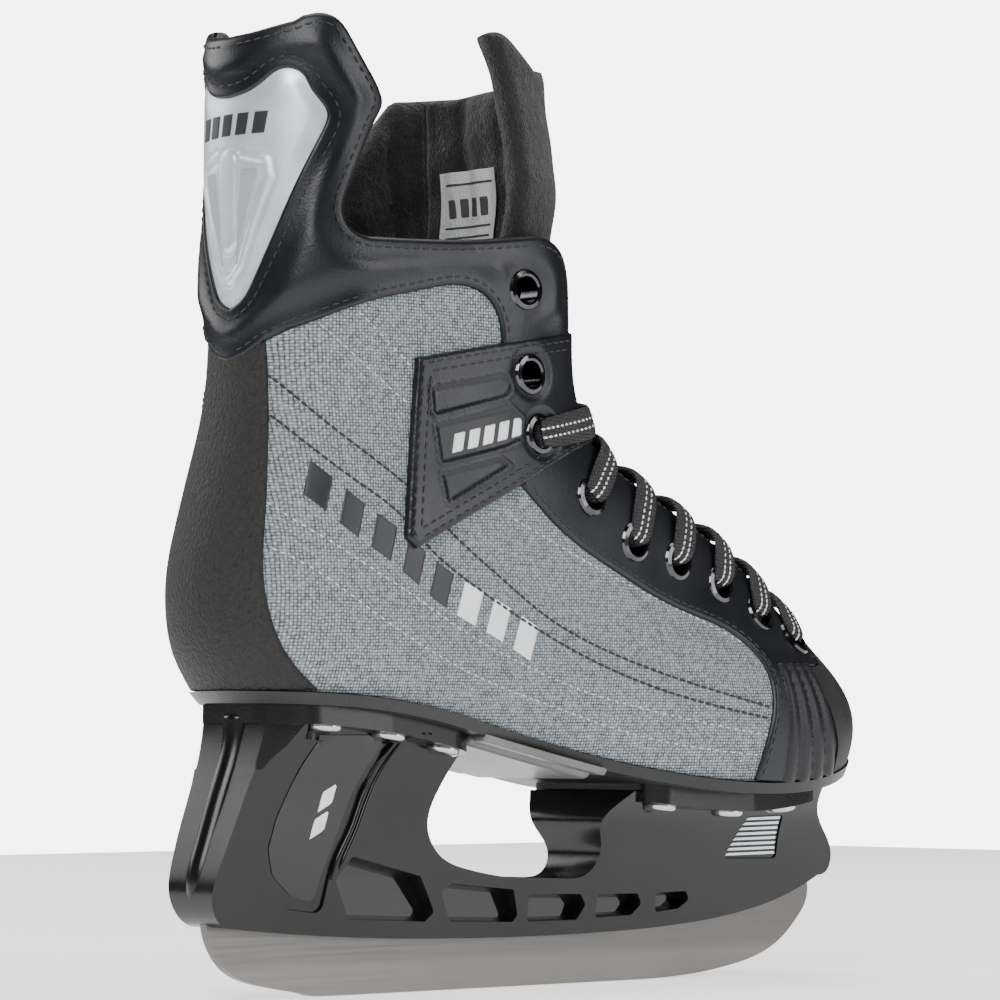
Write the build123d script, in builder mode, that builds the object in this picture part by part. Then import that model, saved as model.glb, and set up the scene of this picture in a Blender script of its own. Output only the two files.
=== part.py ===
"""Recreational hockey ice skate, right foot, in millimetres.

+X points to the toe, +Z up and -Y to the outer (lateral) side. The origin is on
the ice, at the middle of the runner's flat edge.
"""
from build123d import *
from math import cos, hypot, radians, sin, tan
import os

os.makedirs("parts", exist_ok=True)

# ---------------------------------------------------------------- driving sizes
RUNNER_THICKNESS = 3.0
RUNNER_ROOT = 9.0            # depth of the runner inside the holder
OVERLAY = 1.2                # leather panels sewn on the outside
SHELL = 1.4                  # nylon quarter with its backing
FOAM = 1.8                   # foam interlining, stiffener and ankle pads
LINING = 1.0                 # napped lining
TONGUE_GAP = 4.0             # room for the lace between lining and tongue
TONGUE_FACING = 1.2
TONGUE_FOAM = 5.5
TONGUE_FELT = 1.8
OUTSOLE = 3.2
INSOLE_BOARD = 2.5
FOOTBED = 3.0
FLANGE = 5.3
BODY_GAP = 0.3               # between bodies that move apart
GUARD_SPLIT = 214.0          # height of the tendon guard's flex line
TONGUE_SPLIT = 216.0         # height of the tongue's fold line
RIVET_HEAD_R = 4.8
RIVET_HEAD_H = 1.7
HEAD_CLEARANCE = 0.3
HEAD_POCKET = 4.0            # room cut for a rivet's head below the flange
RIVET_SHANK_R = 2.2
WASHER_R = 3.8
WASHER_THICKNESS = 0.8
EYELET_HOLE_R = 3.9
EYELET_BARREL_R = 4.5
EYELET_RIM_R = 6.0
EYELET_BACK_R = 5.4          # rolled edge inside the boot
LACE_R = 1.5
AGLET_LENGTH = 14.0
LABEL_THICKNESS = 0.6
INSERT_RISE = 1.0            # the badge plate stands out this far from the guard
WEB_HALF = 3.6               # half the holder's thickness at the floor of its windows
PANEL_DEPTH = 0.8            # the glossy panel's recess in the heel tower
STRIPE_DEPTH = 0.5

# Sections of the boot's outer form, from below the sole to the guard's top:
# rear point (x, z), front point (x, z), rear half-width, middle half-width,
# front half-width, and the lengths of the rounded front end.
STATIONS = [
    ((-103, 72), (112, 42), 26, 27, 38, 46),
    ((-109, 85), (118, 60), 30, 31, 44, 48),
    ((-116, 97), (122.5, 77), 33, 35, 45, 48),
    ((-118.5, 109), (117, 90), 33.5, 36, 41, 46),
    ((-118, 121), (106, 105), 33.5, 36.5, 34, 44),
    ((-115, 134), (82, 122), 33, 37, 32, 34),
    ((-111, 149), (52, 137.5), 32.5, 37.5, 32, 26),
    ((-107.5, 164), (23, 152), 32, 37, 32, 20),
    ((-106, 178), (8, 169), 31.5, 36.5, 33, 17),
    ((-105.6, 196), (3.5, 193), 31, 36, 34, 15),
    ((-106.5, 222), (1, 222), 30, 35, 34.5, 14),
    ((-106.5, 250), (-2, 250), 29.5, 33, 32, 14),
    ((-106, 280), (-4, 280), 29, 31, 30, 14),
]
TOE_SWING = 4.0              # the toe turns this far to the inner side
TOE_REACH = 125.0

# Side outlines, as (x, z).
SOLE_LINE = [
    (-135, 83.5), (-112, 82.5), (-90, 81.5), (-70, 79.5), (-50, 76), (-30, 71.5), (-10, 67),
    (10, 62.8), (30, 59.2), (50, 56.8), (70, 56), (90, 57.5), (110, 61.5), (140, 69),
]
THROAT_EDGE = [
    (-9, 203), (-8, 190), (-6, 172), (3, 157.5), (18, 148), (37, 139),
    (56.5, 130), (76, 120), (96, 110.5), (112, 101.5), (135, 90),
]
COLLAR_TOP = [(-88, GUARD_SPLIT), (-77, 212), (-45, 213.5), (-22, 216), (-13, 212.5), (-9, 203)]
QUARTER_SEAM = [(82, 125), (76, 98), (73, 80), (74, 40)]
TOE_SEAM = [(96, 125), (96, 101), (95, 94.5), (85, 93.5), (90, 83), (96, 70), (97, 40)]
COLLAR_SEAM = [
    (-140, 176), (-121, 179), (-108, 185), (-90, 191.5), (-72, 196.5), (-49, 199.7), (-42.5, 197),
    (-38.5, 191), (-37.5, 184.4),
]
PATCH_TOP = [(-66.5, 178.7), (-37.5, 184.4), (10, 191)]
PATCH_LOW = [(10, 160.5), (2.3, 158), (-18.9, 150.5), (-31.1, 144.3), (-49, 135.2), (-68.3, 125.2)]
PATCH_REAR = (-72, 128)
EYESTAY_SEAM = [
    (-31.1, 144.3), (-15.3, 132), (9.5, 119.8), (34.3, 110.1), (57.7, 101.6), (64.5, 93.5), (62, 71.9),
]
EYESTAY_END = [(59.6, 40), (70.5, 40), (70.5, 94), (100, 94), (100, 166)]
GUARD_OUTLINE = [
    (-135, GUARD_SPLIT + BODY_GAP), (-87, GUARD_SPLIT + BODY_GAP), (-87, 219), (-80, 238), (-75, 251),
    (-83, 264), (-90, 273), (-96, 274.5), (-135, 269.5),
]

# Halves of outlines seen from behind, as (y, z).
HEEL_STRIP = [(0, 75), (27, 75), (25, 92), (22, 110), (18, 140), (12, 181), (0, 181)]
INSERT_HALF = [(8, 252), (22, 259), (31, 246), (16, 216), (6, 197), (0, 192)]
FAR = 150.0                  # further than any part of the skate


def toe_swing(x):
    """Sideways shift of the form towards the inner side, at x."""
    return TOE_SWING * (max(x, 0) / TOE_REACH) ** 2


def section_frame(station):
    """Plane of a section: its X runs from the rear point to the front point, its Y along +Y."""
    (xr, zr), (xf, zf) = station[:2]
    length = hypot(xf - xr, zf - zr)
    along = Vector((xf - xr) / length, 0, (zf - zr) / length)
    return Plane(origin=(xr, 0, zr), x_dir=along, z_dir=along.cross(Vector(0, 1, 0))), length


def front_gain(index):
    """How much further a front point moves than the form's skin, where sections cut it at a slant."""
    (xr, zr), (xf, zf) = STATIONS[index][:2]
    xa, za = STATIONS[max(index - 1, 0)][1]
    xb, zb = STATIONS[min(index + 1, len(STATIONS) - 1)][1]
    cross = abs((xb - xa) * (zf - zr) - (zb - za) * (xf - xr))
    slant = cross / hypot(xb - xa, zb - za) / hypot(xf - xr, zf - zr)
    return min(1 / slant, 1.9)


def section_points(index, inset):
    """Points of a closed section, counter-clockwise from the rear, in its plane."""
    station = STATIONS[index]
    length = section_frame(station)[1]
    (xr, _), (xf, _), rear, middle, front, nose = station
    side = []
    for angle in (30, 60, 90):
        a = radians(angle)
        side.append((rear - (rear - inset) * cos(a), (rear - inset) * sin(a)))
    side.append(((rear + length - nose) / 2, middle - inset))
    blunt = 1.2 if index < 4 else 1.0
    tip = length - inset * front_gain(index)
    reach = max(tip - length + nose, 0.4 * nose)
    for angle in (90, 60, 30):
        a = radians(angle)
        side.append((tip - reach * (1 - cos(a)) ** blunt, (front - inset) * sin(a) ** (1 / blunt)))
    points = [(inset, 0)]
    points += [(u, -v) for u, v in side]
    points += [(tip, 0)]
    points += [(u, v) for u, v in reversed(side)]
    slope = (xf - xr) / length
    return [(u, v + toe_swing(xr + u * slope)) for u, v in points]


def boot_form(inset):
    """Solid boot shape whose skin lies this far inside the outer form."""
    with BuildPart() as form:
        for index, station in enumerate(STATIONS):
            with BuildSketch(section_frame(station)[0]):
                with BuildLine():
                    Spline(*section_points(index, inset), periodic=True)
                make_face()
        loft()
    return form.part


def sole_points(raise_by):
    """Points of the sole line, raised."""
    return [(x, z + raise_by) for x, z in SOLE_LINE]


SOLE_CURVE = Edge.make_spline([Vector(x, 0, z) for x, z in SOLE_LINE])


def sole_plane(x):
    """Plane on the outsole's underside at x, with its Z pointing up out of the sole."""
    low, high = 0.0, 1.0
    for _ in range(40):
        middle = (low + high) / 2
        if SOLE_CURVE.position_at(middle).X < x:
            low = middle
        else:
            high = middle
    tangent = SOLE_CURVE.tangent_at(low)
    return Plane(origin=SOLE_CURVE.position_at(low), x_dir=tangent, z_dir=tangent.cross(Vector(0, 1, 0)))


def side_prism(points, reach=70.0, both=True):
    """Prism across the boot from a polygon in side view."""
    with BuildPart() as prism:
        with BuildSketch(Plane.XZ):
            with BuildLine():
                Polyline(*points, close=True)
            make_face()
        extrude(amount=reach, both=both)
    return prism.part


def back_prism(half, depth):
    """Prism forwards from behind the boot, from half an outline that is mirrored to the other half."""
    with BuildPart() as prism:
        with BuildSketch(Plane.YZ.offset(-FAR)):
            with BuildLine():
                Polyline(*half, *[(-y, z) for y, z in reversed(half) if y > 0], close=True)
            make_face()
        extrude(amount=depth)
    return prism.part


def level_band(low, high):
    """Everything between two heights."""
    return side_prism([(-FAR, low), (FAR, low), (FAR, high), (-FAR, high)])


def sole_band(low, high):
    """Everything between two copies of the sole line, raised by low and high."""
    with BuildPart() as band:
        with BuildSketch(Plane.XZ):
            with BuildLine():
                lower = Spline(*sole_points(low))
                upper = Spline(*sole_points(high))
                Line(lower @ 0, upper @ 0)
                Line(lower @ 1, upper @ 1)
            make_face()
        extrude(amount=70, both=True)
    return band.part


def panel(layer, *regions):
    """Part of a layer that lies inside every region."""
    with BuildPart() as piece:
        add(layer)
        for region in regions:
            add(region, mode=Mode.INTERSECT)
    return piece.part


def less(body, *tools):
    """A body with tools taken away."""
    with BuildPart() as piece:
        add(body)
        for tool in tools:
            add(tool, mode=Mode.SUBTRACT)
    return piece.part


def save(part, label):
    """Name a part and write it to its own file."""
    part.label = label
    export_step(part, f"parts/{label}.step")


# ------------------------------------------------------- layers of the boot wall
FOAM_IN = SHELL + FOAM
WALL_IN = FOAM_IN + LINING

FORM_OVER = boot_form(-OVERLAY)
FORM = boot_form(0)
FORM_SHELL = boot_form(SHELL)
FORM_FOAM = boot_form(FOAM_IN)
FORM_INSIDE = boot_form(WALL_IN)

ABOVE_SOLE = sole_band(OUTSOLE, 300)
LATERAL = side_prism([(-FAR, 0), (FAR, 0), (FAR, 300), (-FAR, 300)], 70, both=False)
MEDIAL = side_prism([(-FAR, 0), (FAR, 0), (FAR, 300), (-FAR, 300)], -70, both=False)
SIDES = {"lateral": (-1, LATERAL), "medial": (1, MEDIAL)}

UPPER = side_prism(
    [(-FAR, 40), (FAR, 40), (FAR, 83)] + THROAT_EDGE[::-1] + COLLAR_TOP[-2::-1] + [(-FAR, GUARD_SPLIT)]
)
QUARTER = side_prism([(-FAR, 300), (82, 300)] + QUARTER_SEAM + [(-FAR, 40)])
TOE = side_prism([(FAR, 40), (FAR, 300), (96, 300)] + TOE_SEAM)
VAMP = side_prism(QUARTER_SEAM[::-1] + TOE_SEAM)
COLLAR = side_prism(COLLAR_SEAM + [PATCH_TOP[-1], (10, 300), (-FAR, 300), (-FAR, 176)])
EYESTAY = side_prism([(30, 166)] + PATCH_LOW[1:3] + EYESTAY_SEAM + EYESTAY_END)
PATCH = side_prism(PATCH_TOP + PATCH_LOW + [PATCH_REAR])
RIBS = side_prism([(70.5, 40), (70.5, 93.7), (84.8, 93.7)] + TOE_SEAM[3:])
HEEL_STAY = back_prism(HEEL_STRIP, FAR - 85)

wall = panel(less(FORM, FORM_SHELL), ABOVE_SOLE, UPPER)
over = panel(less(FORM_OVER, FORM), ABOVE_SOLE, UPPER)
foam = panel(less(FORM_SHELL, FORM_FOAM), ABOVE_SOLE, UPPER)
lining = panel(less(FORM_FOAM, FORM_INSIDE), ABOVE_SOLE, UPPER)


def seat_on_form(x, z, side):
    """Plane on the outer form at (x, z) in side view, its Z along the outward normal."""
    ray = Axis((x, side * 90, z), (0, -side, 0))
    hits = FORM.find_intersection_points(ray)
    point, normal = min(hits, key=lambda hit: abs(hit[0].Y - side * 90))
    if normal.Y * side < 0:
        normal = -normal
    return Plane(origin=point, x_dir=Vector(0, 0, 1).cross(normal), z_dir=normal)


# --------------------------------------------------------- upper, side by side
EYELETS = [
    (-29.5, 200), (-27.6, 176), (-23.7, 159), (-3.4, 142), (15, 129.5), (34.2, 124.5), (54, 118),
    (71.5, 109.5), (86, 102),
]
EYELET_SEATS = {name: [seat_on_form(x, z, side) for x, z in EYELETS] for name, (side, _) in SIDES.items()}
PAD_OUTLINE = [(-58, 118), (-44, 112), (-30, 116), (-24, 128), (-30, 141), (-44, 146), (-58, 141), (-64, 130)]
STIFFENER = [(-FAR, 40), (-52, 40), (-60, 100), (-70, 124), (-88, 150), (-FAR, 158)]
ankle_pad_region = side_prism(PAD_OUTLINE)
stiffener_region = side_prism(STIFFENER)


def with_eyelet_holes(part, name):
    """A part with the eyelet holes of one side cut through it."""
    with BuildPart() as piece:
        add(part)
        with Locations(*EYELET_SEATS[name]):
            Cylinder(EYELET_BARREL_R + 0.05, 16, mode=Mode.SUBTRACT)
    return piece.part


for name, (side, half) in SIDES.items():
    save(with_eyelet_holes(panel(wall, half, QUARTER), name), f"quarter_{name}")
    save(with_eyelet_holes(less(panel(over, half, EYESTAY), TOE), name), f"eyestay_{name}")
    save(with_eyelet_holes(panel(over, half, PATCH), name), f"ankle_patch_{name}")
    save(less(panel(over, half, RIBS), TOE), f"vamp_ribs_{name}")
    inner_foam = less(panel(foam, half), ankle_pad_region, stiffener_region)
    save(with_eyelet_holes(inner_foam, name), f"foam_{name}")
    save(with_eyelet_holes(panel(lining, half), name), f"lining_{name}")

vamp = with_eyelet_holes(with_eyelet_holes(panel(wall, VAMP), "lateral"), "medial")
save(vamp, "vamp")
save(panel(foam, ankle_pad_region), "ankle_pads")
save(panel(foam, stiffener_region), "heel_stiffener")
collar = less(panel(over, COLLAR), HEEL_STAY)
save(with_eyelet_holes(with_eyelet_holes(collar, "lateral"), "medial"), "ankle_collar")
save(panel(over, HEEL_STAY), "heel_strip")
save(panel(less(FORM_OVER, FORM_SHELL), ABOVE_SOLE, UPPER, TOE), "toe_cap")

# ---------------------------------------------------------------- tendon guard
GUARD = side_prism(GUARD_OUTLINE)
INSERT = back_prism(INSERT_HALF, FAR - 80)
insert_skin = less(boot_form(-OVERLAY - INSERT_RISE), FORM_OVER)
save(panel(less(FORM_OVER, FORM_SHELL), GUARD), "tendon_guard_shell")
save(panel(less(FORM_SHELL, FORM_FOAM), GUARD), "guard_foam")
save(panel(less(FORM_FOAM, FORM_INSIDE), GUARD), "guard_lining")
save(panel(insert_skin, INSERT, GUARD), "guard_insert")
BELOW_SPLIT = side_prism([(-FAR, 100), (-50, 100), (-50, GUARD_SPLIT), (-FAR, GUARD_SPLIT)])
save(panel(insert_skin, INSERT, BELOW_SPLIT), "guard_insert_tip")

# ---------------------------------------------------------------------- tongue
TONGUE_OUT = WALL_IN + TONGUE_GAP
TONGUE_OUTLINE = [
    (-27, 275), (-26, 262), (-21, 240), (-21, 200), (-14, 170), (-4, 152), (14, 136), (34, 126), (56, 116),
    (78, 104), (100, 90), (FAR, 90), (FAR, 275),
]
TONGUE_SPAN = side_prism(TONGUE_OUTLINE)
TONGUE_LOWER = level_band(40, TONGUE_SPLIT)
TONGUE_UPPER = level_band(TONGUE_SPLIT + BODY_GAP, 264)
TONGUE_LAYERS = {"facing": TONGUE_FACING, "foam": TONGUE_FOAM, "felt": TONGUE_FELT}

depth = TONGUE_OUT
outer_skin = boot_form(depth)
for layer, thickness in TONGUE_LAYERS.items():
    depth += thickness
    inner_skin = boot_form(depth)
    sheet = panel(less(outer_skin, inner_skin), TONGUE_SPAN)
    save(panel(sheet, TONGUE_LOWER), f"tongue_{layer}_lower")
    save(panel(sheet, TONGUE_UPPER), f"tongue_{layer}_upper")
    outer_skin = inner_skin

label_skin = less(outer_skin, boot_form(depth + LABEL_THICKNESS))
with BuildPart() as label_block:
    with Locations((-10, 1.5, 230)):
        Box(100, 27, 26)
save(panel(label_skin, label_block.part, TONGUE_SPAN), "tongue_label")

# ------------------------------------------------------------- sole and insole
RIVETS = {"heel": [(-87.5, 19.5), (-65, 21), (-44.6, 21)], "toe": [(39.6, 22), (64, 25), (88, 23)]}
RIVET_STACK = FLANGE + OUTSOLE + INSOLE_BOARD


def seats_on_sole(spots):
    """Planes on the outsole's underside, two for each (x, y): one on either side."""
    seats = []
    for x, y in spots:
        middle = sole_plane(x)
        for side in (-1, 1):
            origin = middle.origin + Vector(0, side * y, 0)
            seats.append(Plane(origin=origin, x_dir=middle.x_dir, z_dir=middle.z_dir))
    return seats


RIVET_SEATS = {name: seats_on_sole(spots) for name, spots in RIVETS.items()}
ALL_SEATS = RIVET_SEATS["heel"] + RIVET_SEATS["toe"]


def with_rivet_holes(part):
    """A part with every rivet's shank hole cut through it."""
    with BuildPart() as piece:
        add(part)
        with Locations(*ALL_SEATS):
            Cylinder(RIVET_SHANK_R + 0.05, 24, mode=Mode.SUBTRACT)
    return piece.part


save(with_rivet_holes(panel(boot_form(-1.8), sole_band(0, OUTSOLE))), "outsole")
SHANK_BAND = (OUTSOLE, OUTSOLE + 1.0)
with BuildPart() as shank_block:
    with BuildSketch(Plane.XY):
        with Locations((-18, 0)):
            RectangleRounded(104, 14, 6)
    extrude(amount=120)
arch_shank = panel(shank_block.part, sole_band(*SHANK_BAND))
board = less(panel(FORM_INSIDE, sole_band(OUTSOLE, OUTSOLE + INSOLE_BOARD)), arch_shank)
save(arch_shank, "arch_shank")
save(with_rivet_holes(board), "insole_board")
with BuildPart() as footbed:
    add(panel(FORM_INSIDE, sole_band(OUTSOLE + INSOLE_BOARD, OUTSOLE + INSOLE_BOARD + FOOTBED)))
    with Locations(*[seat.offset(OUTSOLE + INSOLE_BOARD) for seat in ALL_SEATS]):
        Cylinder(WASHER_R + 0.3, 2 * (WASHER_THICKNESS + 0.4), mode=Mode.SUBTRACT)
save(footbed.part, "footbed")

# --------------------------------------------------------------------- rivets
with BuildPart() as rivet:
    with Locations((0, 0, -FLANGE - RIVET_HEAD_H / 2)):
        Cylinder(RIVET_HEAD_R, RIVET_HEAD_H)
    fillet(rivet.edges().group_by(Axis.Z)[0], RIVET_HEAD_H - 0.3)
    with Locations((0, 0, -FLANGE)):
        Cylinder(RIVET_SHANK_R, RIVET_STACK + WASHER_THICKNESS, align=(Align.CENTER, Align.CENTER, Align.MIN))
with BuildPart() as washer:
    with Locations((0, 0, OUTSOLE + INSOLE_BOARD + WASHER_THICKNESS / 2 + 0.15)):
        Cylinder(WASHER_R, WASHER_THICKNESS)
        Cylinder(RIVET_SHANK_R + 0.05, WASHER_THICKNESS, mode=Mode.SUBTRACT)
for name, seats in RIVET_SEATS.items():
    with BuildPart() as rivets:
        with Locations(*seats):
            add(rivet.part)
    save(rivets.part, f"{name}_rivets")
    with BuildPart() as washers:
        with Locations(*seats):
            add(washer.part)
    save(washers.part, f"{name}_rivet_washers")

# -------------------------------------------------------------------- eyelets
EYELET_BACK = -WALL_IN - 0.6         # the rolled edge bears on the lining from here
with BuildPart() as eyelet:
    with BuildSketch(Plane.XZ):
        with BuildLine():
            Polyline(
                (EYELET_HOLE_R, EYELET_BACK - 0.6), (EYELET_BACK_R, EYELET_BACK - 0.6),
                (EYELET_BACK_R, EYELET_BACK), (EYELET_BARREL_R, EYELET_BACK),
                (EYELET_BARREL_R, OVERLAY), (EYELET_RIM_R, OVERLAY), (EYELET_RIM_R - 0.4, OVERLAY + 0.7),
                (EYELET_BARREL_R, OVERLAY + 1.1), (EYELET_HOLE_R, OVERLAY + 0.7),
                close=True,
            )
        make_face()
    revolve(axis=Axis.Z)
for name, seats in EYELET_SEATS.items():
    with BuildPart() as eyelets:
        with Locations(*seats):
            add(eyelet.part)
    save(eyelets.part, f"eyelets_{name}")

# ------------------------------------------------------- runner and its holder
RUNNER_FLAT = (-62, 48)
with BuildPart() as runner:
    with BuildSketch(Plane.XZ):
        with BuildLine():
            Line((RUNNER_FLAT[0], 0), (RUNNER_FLAT[1], 0))
            Spline(
                (RUNNER_FLAT[1], 0), (89, 3), (111, 10.5), (119.5, 18), (123, 26.5),
                tangents=((1, 0), (0, 1)),
            )
            Polyline(
                (123, 26.5), (122, 33), (112, 34), (84, 28), (45, 24.5), (5, 23.5), (-72, 25.5), (-112, 29),
            )
            Line((-112, 29), (-115.3, 25))
            Spline(
                (-115.3, 25), (-114, 17), (-108.5, 9), (-96, 3.8), (-80, 0.9), (RUNNER_FLAT[0], 0),
                tangents=((0, -1), (1, 0)),
            )
        make_face()
        with Locations((-90, 24), (-50, 21.5), (-10, 20.5), (30, 20.8), (70, 22.5)):
            Circle(2.5, mode=Mode.SUBTRACT)
    extrude(amount=RUNNER_THICKNESS / 2, both=True)
save(runner.part, "runner")

HOLDER_TAIL = [(-105, 90), (-105, 73.5), (-111, 55.5), (-118, 37), (-119.5, 29), (-116.5, 22.5), (-111, 20.3)]
HOLDER_KEEL = [(-111, 20.3), (-72, 16.8), (-40, 15.3), (5, 14.7), (45, 15.5), (84, 19), (108, 25), (119, 30)]
HOLDER_NOSE = [(119, 30), (123.6, 32.5), (123.8, 36), (119, 43), (111, 51), (107, 58), (105, 66)]
ARCH = [
    (32, 66), (27, 56), (21.5, 47.5), (24.5, 39.5), (21.5, 33.3), (10, 31.4), (-10, 32.2), (-27, 34.9),
    (-39, 39.8), (-43.6, 48), (-40, 58), (-34, 68), (-30, 90),
]
# Half-width of the holder at each height, as (half-width, z), for each tower.
HEEL_FLARE = [(6.6, 10), (7.0, 15), (8.6, 24), (10.4, 34), (12.2, 50), (13.6, 64), (17.0, 73), (24, 84)]
TOE_FLARE = [(6.6, 10), (7.0, 15), (8.6, 24), (10.4, 34), (12.6, 42), (16.0, 49), (22, 56), (30, 66)]


def slab(flare, thinner=0.0):
    """Solid along the whole holder, as wide as the flare says at each height."""
    with BuildPart() as body:
        with BuildSketch(Plane.YZ.offset(-FAR)):
            with BuildLine():
                right = Spline(*[(w - thinner, z) for w, z in flare])
                left = Spline(*[(thinner - w, z) for w, z in flare])
                Line(left @ 0, right @ 0)
                Line(left @ 1, right @ 1)
            make_face()
        extrude(amount=2 * FAR)
    return body.part


with BuildPart() as web:
    with BuildSketch(Plane.XZ):
        with BuildLine():
            Spline(*HOLDER_TAIL)
            Spline(*HOLDER_KEEL)
            Spline(*HOLDER_NOSE)
            Line(HOLDER_NOSE[-1], ARCH[0])
            Spline(*ARCH)
            Line(ARCH[-1], HOLDER_TAIL[0])
        make_face()
    extrude(amount=40, both=True)
TOWERS_MEET = -9.0                   # x where the heel tower's flare gives way to the toe tower's
with BuildPart() as rear_half:
    with Locations((TOWERS_MEET - 100, 0, 50)):
        Box(200, 90, 100)
with BuildPart() as front_half:
    with Locations((TOWERS_MEET + 100, 0, 50)):
        Box(200, 90, 100)
# Corner cut from either side of the heel tower's rear, as (x, y), above this height.
TAIL_CORNER = [(-125, 13), (-107, 13), (-98, 16), (-90, 22), (-84, 40), (-125, 40)]
TAIL_CORNER_Z = 64.0
with BuildPart() as tail_corners:
    for side in (-1, 1):
        with BuildSketch(Plane.XY.offset(TAIL_CORNER_Z)):
            with BuildLine():
                Polyline(*[(x, side * y) for x, y in TAIL_CORNER], close=True)
            make_face()
        extrude(amount=40)
heel_tower = panel(web.part, slab(HEEL_FLARE), rear_half.part)
toe_tower = panel(web.part, slab(TOE_FLARE), front_half.part)


def flange(half, radius):
    """Plate under the sole with rounded corners, from half of its plan (x, y)."""
    with BuildPart() as plate:
        with BuildSketch(Plane.XY):
            with BuildLine():
                Polyline(*half, *[(x, -y) for x, y in reversed(half)], close=True)
            face = make_face()
            fillet(face.vertices(), radius)
        extrude(amount=120)
        add(sole_band(-FLANGE, 0), mode=Mode.INTERSECT)
    return plate.part


heel_flange = flange([(-105.5, -12), (-97, -24), (-70, -27), (-37, -27)], 9)
toe_flange = flange([(31, -28), (70, -31), (97, -29), (113, -14)], 8)

WINDOWS = [
    [(-70.7, 39.5), (-44.7, 33.3), (-37.9, 22.9), (-40.9, 20.2), (-69.6, 21.6), (-76.2, 32.9)],
    [(-32.5, 31.0), (-8.1, 28.6), (-5.4, 21.1), (-7, 19.1), (-31.4, 19.9), (-36.3, 28.6)],
    [(-1.8, 27.2), (18.9, 26.6), (21.4, 23.3), (18.5, 19), (-1.4, 19)],
    [(25.8, 26.4), (42.2, 26.2), (44.3, 23), (40.6, 19.8), (25.8, 19.4)],
    [(49.7, 26.2), (62.3, 26.4), (64.2, 23.8), (60, 21.2), (50.5, 20.3)],
]
PANEL = [
    (-89, 76), (-102, 50), (-105, 42), (-102.5, 31.5), (-92, 25), (-80, 23.5), (-78.5, 34), (-73.5, 45),
    (-69, 56), (-57, 76),
]
STRIPE_FIELD = [(76, 36), (99.5, 35.5), (97.5, 49), (82.5, 49)]


def sunk(outline, floor, round_corners=1.2):
    """Tool that sinks an outline into both sides of the holder down to a floor body."""
    with BuildPart() as tool:
        with BuildSketch(Plane.XZ):
            with BuildLine():
                Polyline(*outline, close=True)
            face = make_face()
            fillet(face.vertices(), round_corners)
        extrude(amount=40, both=True)
        add(floor, mode=Mode.SUBTRACT)
    return tool.part


with BuildPart() as window_floor:
    with Locations((0, 0, 50)):
        Box(2 * FAR, 2 * WEB_HALF, 100)
heel_tower = less(heel_tower, tail_corners.part, sunk(PANEL, slab(HEEL_FLARE, PANEL_DEPTH), 3))
toe_tower = less(toe_tower, sunk(STRIPE_FIELD, slab(TOE_FLARE, STRIPE_DEPTH), 1.5))
with BuildPart() as holder_body:
    add(heel_tower)
    add(toe_tower)
    for window in WINDOWS:
        add(sunk(window, window_floor.part), mode=Mode.SUBTRACT)
    add(sole_band(-FLANGE / 2, 300), mode=Mode.SUBTRACT)
    add(heel_flange)
    add(toe_flange)
    add(runner.part, mode=Mode.SUBTRACT)
with BuildPart() as blade_holder:
    add(with_rivet_holes(holder_body.part))
    with Locations(*[seat.offset(-FLANGE) for seat in ALL_SEATS]):
        Cylinder(
            RIVET_HEAD_R + HEAD_CLEARANCE, HEAD_POCKET, mode=Mode.SUBTRACT,
            align=(Align.CENTER, Align.CENTER, Align.MAX),
        )
save(blade_holder.part, "blade_holder")

# ----------------------------------------------------------------------- lace
# Where the lace passes the eyestay's edge beside each laced pair, from the third down.
LACED = EYELETS[2:]
EDGES = [(-3, 163), (8, 150), (25, 142), (42, 134), (60, 126), (78, 117), (93, 109)]
OVER_LIFT = 3.8
UNDER_LIFT = [-6.4, -6.4, -6.2, -5.6, -5.4, -5.2, -5.0]
TUCK = [(-9, 178), (-12, 192)]
CROSSING_LEAN = [70, 50, 32, 28, 27, 28, 30]         # degrees from vertical, out of the throat
CROSSING_INSET = 6.2                 # depth of the lower strand below the form
CROSSING_STEP = 3.3                  # the upper strand passes this far above it
CROSSING_STATIONS = [(0.4, 12), (0.5, 0), (0.6, -12)]    # share of the way to the next pair, and y


def lifted(x, z, side, lift):
    """Point this far above the outer form."""
    seat = seat_on_form(x, z, side)
    return seat.origin + seat.z_dir * lift


def edge_point(pair, side, lift, towards):
    """Point over or under the eyestay's edge, a quarter of the way to the next pair."""
    (xa, za), (xb, zb) = EDGES[pair], EDGES[towards]
    return lifted(xa + 0.25 * (xb - xa), za + 0.25 * (zb - za), side, lift)


def over_tongue(pair, side):
    """Points of a crossing that follows the tongue, from one side of the throat to the other."""
    lean = radians(CROSSING_LEAN[pair])
    out = Vector(sin(lean), 0, cos(lean))
    (xa, za), (xb, zb) = EDGES[pair], EDGES[max(pair - 1, 0)]
    inset = CROSSING_INSET - (CROSSING_STEP if side > 0 else 0)
    points = []
    for share, across in CROSSING_STATIONS:
        foot = Vector(xa + share * (xb - xa), side * across, za + share * (zb - za))
        hits = FORM.find_intersection_points(Axis(tuple(foot + out * 60), tuple(-out)))
        top = max(hits, key=lambda hit: hit[0].dot(out))[0]
        points.append(top - out * inset)
    return points


def strand(side):
    """One half of the lace, from the lowest pair up to its tucked end."""
    points = []
    for pair in range(len(LACED) - 1, -1, -1):
        x, z = LACED[pair]
        under = UNDER_LIFT[pair]
        points += [lifted(x, z, side, under), lifted(x, z, side, OVER_LIFT)]
        upper = max(pair - 1, 0)
        start = edge_point(pair, side, OVER_LIFT, upper) if pair else lifted(*EDGES[0], side, OVER_LIFT)
        end = edge_point(upper, -side, under, pair) if pair else lifted(-8, 171, -side, under)
        points += [start] + over_tongue(pair, side) + [end]
        side = -side
    points += [lifted(x, z, side, UNDER_LIFT[0]) for x, z in TUCK]
    return points


lace_points = strand(-1)[::-1] + [Vector(91, 1, 107)] + strand(1)


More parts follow.
